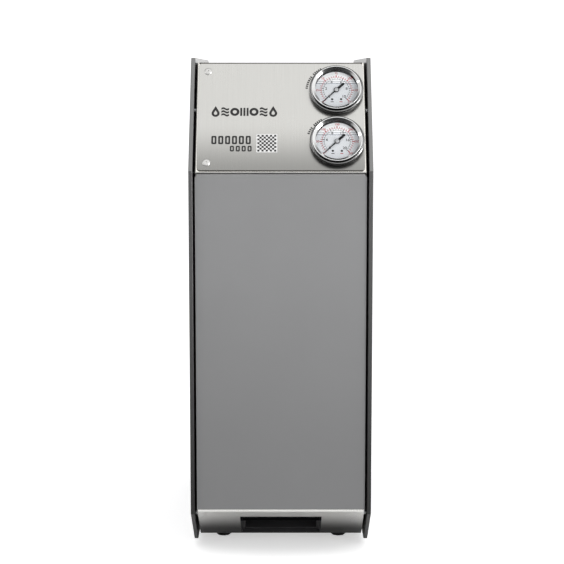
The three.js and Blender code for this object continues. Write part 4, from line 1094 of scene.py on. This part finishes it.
def printed_marks():
    """A row of plain water symbols, two rows of plain boxes, and a pale label with a regular dot grid."""
    z = PLATE_HIGH.z + 0.01
    middle = BEND + 81.5
    marks = []
    for index, kind in enumerate(("drop", "waves", "ring", "bars", "ring", "waves", "drop")):
        x = -79.5 + 11.7 * index
        if kind == "drop":
            marks.append(drop(x, middle - 2.0, 4.9, z, 0.42))
        elif kind == "waves":
            marks += [wave(x, middle + lift, 9.4, 2.0, 2.5, z) for lift in (-4.2, 0, 4.2)]
        elif kind == "ring":
            marks.append(printed_ring(x, middle, 5.6, 2.5, z))
        else:
            marks += [bar(x + shift, middle, 2.4, 11.2, z) for shift in (-3.9, 0, 3.9)]
    for height, tall, start, width, count in ((42.4, 11.4, -84, 6.2, 6), (30.6, 7.8, -61.5, 5.0, 4)):
        low = BEND + height - tall / 2
        wall = width * 0.34
        for index in range(count):
            x = start + index * (width + 2.1)
            outer = rectangle(x, x + width, low, low + tall, 1.6)
            inner = rectangle(x + wall, x + width - wall, low + wall, low + tall - wall, 0.7)
            marks.append(plate([outer, inner], z, z + MARK))
    add("control_plate_symbols", merged(*marks), PRINT, FACE)

    x0, x1 = -29.5, -4.3
    y0, y1 = BEND + 25.4, BEND + 50.6
    card = plate([rectangle(x0, x1, y0, y1, 0.6, 3)], PLATE_HIGH.z + 0.005, PLATE_HIGH.z + 0.1)
    add("control_plate_label", card, LABEL, FACE)
    count = 9
    pitch = (x1 - x0 - 2.4) / count
    places = [(step + 0.5) * pitch + 1.2 for step in range(count)]
    dots = [
        bar(x0 + x, y0 + y, pitch * 1.02, pitch * 1.02, z + 0.08)
        for row, y in enumerate(places)
        for column, x in enumerate(places)
        if (row + column) % 2 == 0
    ]
    add("control_plate_label_dots", merged(*dots), PRINT, FACE)


# ------------------------------------------------------------------ rear fittings


def ports():
    """Threaded tails through the rear panel, each with a hex nut on both sides and a washer."""
    for node, look, bore, share in (
        ("feed_port", BRASS, 9.0, 0.835),
        ("permeate_port", ZINC, 7.0, 0.785),
        ("drain_port", ZINC, 7.0, 0.785),
    ):
        middle, low, high = node_middle(node)
        flats = (high.x - low.x) / 2
        root = flats * share
        length = high.y - low.y
        start = REAR_SKIN - low.y
        profile = [(bore, 0), (root, 0), (root, start + 8)]
        pitch = 1.9
        thread = start + 9
        while thread + pitch < length - 1.5:
            profile += [(root - 1.0, thread), (root, thread + pitch * 0.45), (root, thread + pitch * 0.6)]
            thread += pitch
        profile += [(root - 1.2, length), (bore, length)]
        matrix = aimed((middle.x, low.y, middle.z), (0, 1, 0))
        add(f"{node}_tail", revolve(profile, 64, loop=True), look, matrix, node)
        corner = flats / math.cos(math.radians(30)) * 0.99
        hexagon = [polar(corner, math.radians(30 + 60 * index)) for index in range(6)]
        for name, near in (("outer_nut", start + 1.3), ("inner_nut", start - 8.5)):
            nut = plate([hexagon, circle(0, 0, root - 0.3)], near, near + 6.3, 0.6)
            add(f"{node}_{name}", nut, look, matrix)
        loops = [circle(0, 0, flats * 1.12, 64), circle(0, 0, root - 0.3)]
        washer = plate(loops, start + 0.1, start + 1.2, 0.2)
        add(f"{node}_washer", washer, RUBBER, matrix)


def reject_knob():
    """A fluted knob on its stem, with a pointer line on its face."""
    middle, low, high = node_middle("reject_valve_knob")
    radius = (high.x - low.x) / 2
    near = REAR_SKIN + 4.2 - low.y
    length = high.y - low.y
    outline = []
    flutes = 18
    for index in range(flutes * 8):
        turn = 2 * math.pi * index / (flutes * 8)
        depth = 0.9 * (0.5 - 0.5 * math.cos(turn * flutes)) ** 1.5
        outline.append(polar(radius - 0.1 - depth, turn))
    grip = plate([outline], near + 2, length - 1.2, 0.5, 3)
    skirt = turned([(0, near), (radius - 0.2, near), (radius - 0.2, near + 1.8), (0, near + 2.6)], 0.3, 64)
    top = length - 0.1
    cap = turned([(0, length - 2), (radius - 3, length - 2), (radius - 3.4, top), (0, top)], 0.4, 64)
    line = block((-0.7, 3, length - 1.6), (0.7, radius - 1.4, length - 0.9), 0.2)
    matrix = aimed((middle.x, low.y, middle.z), (0, 1, 0))
    for name, mesh, look, slot in (
        ("grip", merged(grip, skirt), BLACK_PLASTIC, "black_plastic"),
        ("cap", cap, BLUE_PLASTIC, "black_plastic"),
        ("line", line, WHITE_PLASTIC, "black_plastic"),
        ("stem", rod(3.8, 0, near + 0.5, 0.3, 40), ZINC, "zinc"),
    ):
        replaced = "reject_valve_knob" if name == "grip" else None
        add(f"reject_knob_{name}", mesh, look, matrix, replaced, "reject_knob")


def on_rear(x, z, lift=0.0):
    """A frame on the rear panel's outside at (x, z): Y up, Z out towards the back."""
    return at(x, REAR_SKIN + lift, z) @ REAR


def power_inlet():
    """A three-pin appliance inlet with a screwed flange."""
    middle, low, high = node_middle("power_inlet")
    matrix = on_rear(middle.x, middle.z)
    rise = high.y - REAR_SKIN
    width = (high.x - low.x) / 2 - 0.1
    tall = (high.z - low.z) / 2 - 0.1
    outer = [
        (-width, -6), (-13, -tall), (13, -tall), (width, -6),
        (width, 6), (13, tall), (-13, tall), (-width, 6),
    ]
    mouth = [(-12.2, -8.6), (12.2, -8.6), (12.2, 4.4), (7.4, 8.6), (-7.4, 8.6), (-12.2, 4.4)]
    mouth = fillet(mouth, 1.4, 4)
    flange = plate([fillet(outer, 3, 5), mouth], 0.1, rise - 0.05, 0.5, 3)
    cup = plate([rectangle(-13.6, 13.6, -10, 10, 1.5, 3), mouth], -19, 0.2, 0.3)
    floor = plate([rectangle(-13.4, 13.4, -9.8, 9.8, 1.5, 3)], -23, -18.9, 0.3)
    add("power_inlet_flange", merged(flange, cup, floor), BLACK_PLASTIC, matrix, "power_inlet")
    pins = [
        block((x - 1, y - 2, -19.5), (x + 1, y + 2, -4), 0.5, 3) for x, y in ((0, 2.4), (-7, -2.4), (7, -2.4))
    ]
    add("power_inlet_pins", merged(*pins), ZINC, matrix)
    for name, side in (("right", -1), ("left", 1)):
        cross_screw(f"power_inlet_screw_{name}", 2.9, 1.5, matrix @ at(side * 20, 0, rise - 1.2), 0.5 * side)


def power_switch():
    """A rocker in its frame, with a stroke on one half and a ring on the other."""
    refine("switch_frame", BLACK_PLASTIC, 0.5, 3)
    refine("switch_rocker", BLACK_PLASTIC, 0.6, 3, "power_rocker")
    flat = refined("switch_rocker", 0)
    faces = sorted((face for face in flat.polygons if face.normal.y > 0.7), key=lambda face: -face.area)[:2]
    for face in faces:
        upper = face.center.z / MM > box("switch_rocker")[0].z + 11
        matrix = on_normal(face.center + face.normal * 0.02 * MM, face.normal)
        mark = bar(0, 0, 0.9, 4.4, 0) if upper else printed_ring(0, 0, 2.2, 1.5, 0)
        add(f"switch_rocker_{'stroke' if upper else 'ring'}", mark, LABEL, matrix, body="power_rocker")
    bpy.data.meshes.remove(flat)


def louvres():
    """Two banks of pressed vent hoods on the rear panel, and its rim of screws."""
    section = fillet([(0, 0), (0, 2.4), (-1.4, 2.2), (-7, 0)], [0, 0.8, 1.2, 0], 4)
    hoods = [
        # Outline axes: first down the panel, second out of it.
        moved(across([section], -26, 26, 0.25), at(column, REAR_SKIN + 0.02, 300 + row * 15) @ UPRIGHT)
        for column in (-50, 50)
        for row in range(9)
    ]
    add("rear_panel_louvres", merged(*hoods), BRUSHED)
    places = [(side * 96, height) for side in (-1, 1) for height in (26, 172, 318, 464, 600)]
    for index, (x, z) in enumerate(places):
        cross_screw(f"rear_panel_screw_{index + 1}", 3.4, 2.0, on_rear(x, z, 0.05), 0.4 * index)


def rear_marks():
    """A plain rating card with bars, and a small drop or arrow symbol over each port."""
    corner = on_rear(-42, 500)
    add("rear_card", plate([rectangle(-32, 32, -17, 17, 1, 3)], 0.02, 0.12), LABEL, corner)
    widths = (44, 52, 38, 52, 30)
    lines = [bar(-27 + width / 2, 11 - row * 5.4, width, 1.5, 0.11) for row, width in enumerate(widths)]
    add("rear_card_bars", merged(*lines), PRINT, corner)
    z = 0.02
    arrow = [(-2, 6), (-2, -1), (-5, -1), (0, -7), (5, -1), (2, -1), (2, 6)]
    into = [(58 + x, y) for x, y in arrow]
    out = [(-58 + x, -y) for x, y in arrow][::-1]
    symbols = [plate([into], z, z + MARK), drop(0, 0, 3.6, z, 0.45), plate([out], z, z + MARK)]
    add("rear_port_symbols", merged(*symbols), PRINT, on_rear(0, 112))


def rear():
    ports()
    reject_knob()
    power_inlet()
    power_switch()
    louvres()
    rear_marks()


# ------------------------------------------------------------------ inside


def pipe(points, radius, bend, resolution=8):
    """A round tube through points, with every corner bent to a radius."""
    knots = [Vector(point) for point in points]
    path = [knots[0]]
    for before, corner, after in zip(knots, knots[1:], knots[2:]):
        back = (before - corner).normalized()
        ahead = (after - corner).normalized()
        half = back.angle(ahead) / 2
        if abs(half - math.pi / 2) < 1e-3:
            continue
        reach = min(bend / math.tan(half), 0.48 * (before - corner).length, 0.48 * (after - corner).length)
        centre = corner + (back + ahead).normalized() * (reach * math.tan(half) / math.sin(half))
        first = corner + back * reach - centre
        last = corner + ahead * reach - centre
        sweep = first.angle(last)
        for step in range(9):
            shares = [math.sin(share * sweep) / math.sin(sweep) for share in (1 - step / 8, step / 8)]
            path.append(centre + first * shares[0] + last * shares[1])
    path.append(knots[-1])
    return tube(path, radius, resolution)


def ribs(count, half, inner, outer, z0, z1, soft=0.4, offset=0.0):
    """Upright ribs standing round a turned piece."""
    return circled(count, lambda: block((-half, inner, z0), (half, outer, z1), soft), offset)


def cartridge(side):
    """A ribbed quick-change filter bottle that turns in its head."""
    node = f"filter_cartridge_{side}"
    middle, low, high = node_middle(node)
    # The right sleeve reuses the grey panel finish, painted shade ramp included.
    looks = {
        "left": (WHITE_PLASTIC, LABEL, BLUE_PLASTIC),
        "right": (BLUE_PLASTIC, GREY_PANEL, WHITE_PLASTIC),
    }[side]
    radius = (high.x - low.x) / 2
    tall = high.z - low.z
    shoulder = 247
    profile = [
        (0, 6), (10, 6), (14, 1), (20, 0), (radius - 3, 0), (radius, 6), (radius, 26), (radius - 1.2, 28),
        (radius - 1.2, shoulder - 42), (radius, shoulder - 40), (radius, shoulder - 16),
        (radius - 4, shoulder - 6), (radius - 14, shoulder), (20, shoulder), (20, tall), (0, tall),
    ]
    matrix = at(middle.x, middle.y, low.z)
    body = f"{side}_cartridge"
    add(f"{node}_bottle", turned(profile, 1.1, 96), looks[0], matrix, node, body)
    add(f"{node}_ribs", ribs(24, 1.1, radius - 2.2, radius - 0.05, 8, 24, 0.5), looks[0], matrix, body=body)
    sleeve = ring(0, 0, radius - 0.75, radius - 1.25, 62, 168, count=96)
    add(f"{node}_sleeve", sleeve, looks[1], matrix, body=body)
    bands = [ring(0, 0, radius - 0.6, radius - 1.0, z, z + 3.2, count=96) for z in (66, 72, 158)]
    add(f"{node}_bands", merged(*bands), looks[2], matrix, body=body)


def filter_head(side):
    """A cap with a skirt of grip ribs, over its cartridge."""
    node = f"filter_head_{side}"
    middle, low, high = node_middle(node)
    radius = (high.x - low.x) / 2
    tall = high.z - low.z
    profile = [
        (27, 0), (radius, 0), (radius, 20), (radius - 4, 27), (radius - 16, 34), (16, tall - 6),
        (16, tall - 0.2), (0, tall - 0.2), (0, 24), (27, 24),
    ]
    matrix = at(middle.x, box(f"filter_cartridge_{side}")[0].y + 38, low.z)
    add(f"{node}_cap", turned(profile, 1.2, 96), BLACK_PLASTIC, matrix, node)
    grips = ribs(36, 0.9, radius - 2, radius - 0.02, 2.5, 18.5, offset=0.5)
    add(f"{node}_ribs", grips, BLACK_PLASTIC, matrix)


def membrane(name):
    """A pressure tube with a ribbed end cap, a rounded foot and a collet on its lower stub."""
    node = f"membrane_{name}"
    middle, low, high = node_middle(node)
    wide = (high.x - low.x) / 2
    thin = wide - 2
    tall = high.z - low.z
    stub = 12
    end = tall - stub
    profile = [
        (0, 0), (7, 0), (7, stub), (thin - 12, stub), (thin - 3, stub + 5), (thin, stub + 14),
        (thin, end - 42), (wide, end - 41), (wide, end - 4), (wide - 6, end), (7, end), (7, tall), (0, tall),
    ]
    matrix = at(middle.x, middle.y, low.z)
    add(f"{node}_housing", turned(profile, 1.2, 96), WHITE_PLASTIC, matrix, node)
    add(f"{node}_cap_ribs", ribs(40, 0.9, wide - 1.8, wide - 0.02, end - 37, end - 7), WHITE_PLASTIC, matrix)
    collet = [(4, 0), (8.6, 0), (8.6, 5), (7.1, 6.4), (4, 6.4)]
    add(f"{node}_lower_collet", turned(collet, 0.4, 40, loop=True), BLUE_PLASTIC, matrix)


def motor():
    """A finned shell between two end bells, on a cradle foot, with a fan grille at its open end."""
    low, high = box("motor_case")
    outer = (high.x - low.x) / 2 - 0.1
    length = high.y - low.y
    shell = outer - 3.4
    bore = outer - 5.9
    matrix = aimed((0, low.y, SHAFT_Z), (0, 1, 0))
    profile = [
        (SHAFT_HOLE, 0), (outer - 9, 0), (outer, 5), (outer, 26), (shell, 28), (shell, length - 48),
        (outer, length - 46), (outer, length - 4), (outer - 3, length), (bore, length), (bore, 8),
        (SHAFT_HOLE, 8),
    ]
    add("motor_shell", turned(profile, 0.8, 96, loop=True), MOTOR_PAINT, matrix, "motor_case")
    add("motor_fins", ribs(48, 0.8, shell - 0.3, outer - 0.2, 27, length - 47), MOTOR_PAINT, matrix)
    cradle = block((-45, low.y + 32, low.z), (45, high.y - 50, SHAFT_Z - 30), 1.5)
    cradle = without(cradle, moved(rod(outer - 0.1, 20, length, 0, 96), matrix))
    add("motor_cradle", cradle, MOTOR_PAINT)
    rings = [ring(0, 0, radius, radius - 2.4, 0, 1.8, 0.3, 72) for radius in (50, 41, 32, 23, 14)]
    rings.append(circled(6, lambda: block((-1.4, 10, 0.3), (1.4, 49, 1.5), 0.3)))
    add("motor_fan_grille", merged(*rings), BLACK_PLASTIC, matrix @ at(0, 0, length - 2.2))
    refine("motor_rotor", ZINC, 0.5, body="pump_rotor")


def pump():
    """A brass vane pump: its cover has a boss and a ring of bolts, and its two ports have collars."""
    low, high = box("pump_body")
    length = high.y - low.y
    radius = 38
    rim = radius + 9.9
    profile = [
        (0, 0), (radius, 0), (radius, 9), (radius - 1.5, 10), (radius - 1.5, 11.5), (radius, 12.5),
        (radius, length - 14), (rim, length - 12.4), (rim, length), (SHAFT_HOLE, length),
        (SHAFT_HOLE, 15), (0, 15),
    ]
    matrix = aimed((0, low.y, SHAFT_Z), (0, 1, 0))
    add("pump_casting", turned(profile, 0.9, 96), BRASS, matrix, "pump_body")
    port_y = low.y + 22
    necks = [shifted(rod(9, 0, high.z - SHAFT_Z - 20, 0.8), x, port_y, SHAFT_Z + 20) for x in (-20, 20)]
    add("pump_necks", merged(*necks), BRASS)
    cover = aimed((0, low.y, SHAFT_Z), (0, -1, 0))
    head = 3.6
    heads = []
    for index in range(6):
        place = spun((index + 0.5) / 6) @ at(0, 31, 0)
        heads.append(moved(rod(head * 1.15, -0.1, 0.7, 0.15, 32), place))
        heads.append(moved(rod(head, 0.6, 0.9 * head, 0.3, 6), place))
    add("pump_cover_bolts", merged(*heads), ZINC, cover)
    boss = [(0, -0.1), (21, -0.1), (21, 1.2), (12, 1.8), (11, 4), (0, 4)]
    add("pump_cover_boss", turned(boss, 0.6), BRASS, cover)
    for side, x in (("left", -20), ("right", 20)):
        collar = turned([(7, 0), (10.6, 0), (10.6, 8), (9.6, 10), (7, 10)], 0.5, 6, loop=True)
        add(f"pump_port_collar_{side}", collar, ZINC, at(x, port_y, high.z - 9.5))


def valves():
    refine("inlet_valve_body", BRASS, 0.7, 3)
    refine("inlet_valve_coil", BLACK_PLASTIC, 0.7, 3)
    refine("inlet_valve_plunger", ZINC, 0.7, 3, "inlet_plunger")
    refine("reject_valve_body", BRASS, 0.7, 3)


def hoses():
    """The two wide hoses between the valves and the rear ports, with clamp bands at both ends."""
    for name, look in (("feed", BLUE_PLASTIC), ("drain", BLACK_PLASTIC)):
        middle, low, high = node_middle(f"{name}_hose")
        radius = (high.x - low.x) / 2
        x = middle.x
        y = low.y + radius
        z = low.z + radius
        path = [(x, y, high.z), (x, y, z), (x, high.y, z)]
        hose = pipe(path, radius - 0.05, 26, 12)
        add(f"{name}_hose_tube", hose, look, replaces=f"{name}_hose")
        ends = (((x, y, high.z - 12), (0, 0, 1)), ((x, high.y - 9, z), (0, 1, 0)))
        for index, (start, direction) in enumerate(ends):
            band = rod(radius + 0.7, 0, 7, 0.2, 48, radius - 0.2)
            add(f"{name}_hose_band_{index + 1}", band, ZINC, aimed(start, direction))


def controller():
    """A lidded box with a seam, corner screws and three lamps."""
    middle, low, high = node_middle("controller_box")
    seam = low.y + 12
    lid = block(low, (high.x, seam - 0.4, high.z), 3, 4)
    tub = block((low.x + 1, seam - 0.1, low.z + 1), (high.x - 1, high.y, high.z - 1), 2.4, 4)
    add("controller_box_lid", lid, WHITE_PLASTIC, replaces="controller_box")
    add("controller_box_tub", tub, WHITE_PLASTIC)
    corners = [(x, z) for z in (low.z + 8, high.z - 8) for x in (low.x + 8, high.x - 8)]
    for index, (x, z) in enumerate(corners):
        cross_screw(f"controller_screw_{index + 1}", 3, 1.4, aimed((x, low.y + 0.05, z), (0, -1, 0)))
    for index, look in enumerate((LABEL, BLUE_PLASTIC, RED_PRINT)):
        lamp = turned([(0, -0.1), (2.6, -0.1), (2.6, 0.8), (1.5, 1.9), (0, 1.9)], 0.5, 32)
        place = aimed((middle.x + (index - 1) * 11, low.y, middle.z + 6), (0, -1, 0))
        add(f"controller_lamp_{index + 1}", lamp, look, place)


def small_tubes():
    """Quick-connect tubing between the filters, membranes, pump and gauges."""
    tops = []
    for name in ("left", "right", "rear"):
        middle, _, high = node_middle(f"membrane_{name}")
        tops.append(Vector((middle.x, middle.y, high.z)))
    left, right, behind = tops
    up = Vector((0, 0, 16))
    front = [left, left + up, right + up, right]
    add("link_tube_front", pipe(front, 3.2, 11), WHITE_PLASTIC)
    y = right.y + 22
    over = [
        behind, behind + Vector((0, 0, 25)), (right.x, behind.y, behind.z + 25),
        (right.x, y, right.z + 25), (right.x, y, right.z - 12),
    ]
    add("link_tube_rear", pipe(over, 3.2, 11), BLUE_PLASTIC)
    for prefix, hub, side in (("upper", UPPER_HUB, 96), ("lower", LOWER_HUB, 90)):
        base = local_span(f"{prefix}_gauge_case", hub)[0].z
        add(f"{prefix}_gauge_nut", rod(6.6, -3, 5, 0.6, 6, 3, 2), BRASS, hub @ at(0, 0, base + 3))
        away = point_on(hub, 0, 0, base - 14)
        y = away.y + 12
        path = [point_on(hub, 0, 0, base + 1), away, (side, y, away.z - 6), (side, y, 530)]
        add(f"{prefix}_gauge_tube", pipe(path, 1.6, 8), ZINC)


def inside():
    for side in ("left", "right"):
        cartridge(side)
        filter_head(side)
    refine("filter_shelf", BRUSHED, 0.3)
    refine("membrane_clamp", BRUSHED, 0.3)
    for name in ("left", "right", "rear"):
        membrane(name)
    motor()
    pump()
    valves()
    hoses()
    controller()
    small_tubes()


# ------------------------------------------------------------------ stage (metres)


def studio():
    """A plain pale floor that curves up into a backdrop, soft light from above and in front."""
    work = bmesh.new()
    wide = 6.0
    depth = 3.0
    rise = 1.2
    curve = [math.radians(angle) for angle in range(6, 91, 6)]
    path = [(-5.0, 0.0), (depth - rise, 0.0)]
    path += [(depth - rise + rise * math.sin(turn), rise - rise * math.cos(turn)) for turn in curve]
    path.append((depth, 5.0))
    rows = [[work.verts.new((x, y, z)) for x in (-wide, wide)] for y, z in path]
    for low, high in zip(rows, rows[1:]):
        work.faces.new((low[0], low[1], high[1], high[0]))
    mesh = bpy.data.meshes.new("studio_floor")
    work.to_mesh(mesh)
    work.free()
    for polygon in mesh.polygons:
        polygon.use_smooth = True
    white = (0.90, 0.90, 0.90)
    paper = finish("studio_paper", white, 0.9, 0.0, 60, bump=0.02, tint=0.005, spread=0.02, specular=0.0)
    tree = paper.node_tree
    shader = tree.nodes["Principled BSDF"]
    shader.inputs["Emission Color"].default_value = (1, 1, 1, 1)
    path = add_node(tree, "ShaderNodeLightPath").outputs
    shade = mixed(tree, path["Is Glossy Ray"], rgba(white), (0.85, 0.85, 0.85, 1))
    tree.links.new(shade, shader.inputs["Base Color"])
    glow = maths(tree, "MULTIPLY", path["Is Camera Ray"], 0.5)
    tree.links.new(glow, shader.inputs["Emission Strength"])
    mesh.materials.append(paper)
    linked(mesh)


def area_light(name, place, width, height, power):
    """A rectangular light that looks at the middle of the object."""
    light = bpy.data.lights.new(name, "AREA")
    light.shape = "RECTANGLE"
    light.size = width
    light.size_y = height
    light.energy = power
    lamp = linked(light)
    lamp.location = place
    lamp.rotation_euler = (Vector((0, -0.1, 0.3)) - Vector(place)).to_track_quat("-Z", "Y").to_euler()


KEY_DIRECTION = (0.08, -0.60, 0.795)  # up and to the front, where the control face looks


def lights():
    """An even pale surround, brighter overhead, with a soft key above and a soft strip on each side."""
    area_light("ceiling_softbox", (0.25, -1.0, 2.2), 2.0, 1.4, 2.2)
    area_light("right_strip", (1.35, -1.25, 0.8), 0.45, 1.5, 13.0)
    area_light("left_strip", (-1.7, -0.8, 0.9), 0.3, 1.4, 4.0)
    world = bpy.data.worlds.new("studio_world")
    SCENE.world = world
    world.use_nodes = True
    tree = world.node_tree
    place = add_node(tree, "ShaderNodeTexCoord").outputs["Generated"]
    split = add_node(tree, "ShaderNodeSeparateXYZ", {0: place}).outputs
    soft = sky_ramp(tree, split["Z"], ((0.0, 0.50), (0.28, 0.60), (0.62, 0.92)))
    dim = sky_ramp(tree, split["Z"], ((0.0, 0.09), (0.22, 0.10), (0.5, 0.16), (1.0, 0.30)))
    key = add_node(tree, "ShaderNodeVectorMath", {0: place, 1: KEY_DIRECTION}, operation="DOT_PRODUCT")
    patch = ranged(tree, key.outputs["Value"], 0.72, 0.88, smooth=True)
    wings = ranged(tree, maths(tree, "ABSOLUTE", split["X"]), 0.56, 0.80, smooth=True)
    crisp = mixed(tree, maths(tree, "MAXIMUM", patch, wings), dim, (0.93, 0.93, 0.92, 1))
    # Mirror-like finishes see the crisp surround, everything else the soft one, the camera plain white.
    path = add_node(tree, "ShaderNodeLightPath").outputs
    mirrored = mixed(tree, path["Is Glossy Ray"], soft, crisp)
    lit = times(tree, mirrored, ranged(tree, split["X"], -1.0, 1.0, 0.80, 1.16))
    seen = mixed(tree, path["Is Camera Ray"], lit, (1, 1, 1, 1))
    tree.links.new(seen, tree.nodes["Background"].inputs["Color"])
    tree.nodes["Background"].inputs["Strength"].default_value = 1.0


def sky_ramp(tree, height, stops):
    """Grey levels of the surround against the height of the direction."""
    ramp = add_node(tree, "ShaderNodeValToRGB", {0: height})
    keys = ramp.color_ramp.elements
    for index, (position, level) in enumerate(stops):
        key = keys[index] if index < 2 else keys.new(position)
        key.position = position
        key.color = (level, level, level * 1.01, 1)
    return ramp.outputs[0]


def camera():
    """A long lens a little above the top of the object, looking slightly down at its front."""
    lens = bpy.data.cameras.new("camera")
    lens.sensor_width = 36
    lens.lens = 100.8
    eye = linked(lens)
    distance = 1.890
    eye.location = (0.0014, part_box("left_side_plate")[0].y - distance, 0.599)
    eye.rotation_euler = (math.radians(90 - 7.5), 0, 0)
    SCENE.camera = eye


side_plates()
plate_liners()
spacers()
sheets()
feet()
control_housing()
control_plate()
control_screws()
door_skin()
door_tray()
grip_cup()
hinge()
gauge("upper", UPPER_HUB, range(0, 11, 2), range(0, 151, 25))
gauge("lower", LOWER_HUB, range(0, 21, 4), range(0, 301, 50))
captions()
printed_marks()
rear()
inside()
studio()
lights()
camera()
SCENE.view_settings.view_transform = "Standard"
SCENE.view_settings.look = "None"
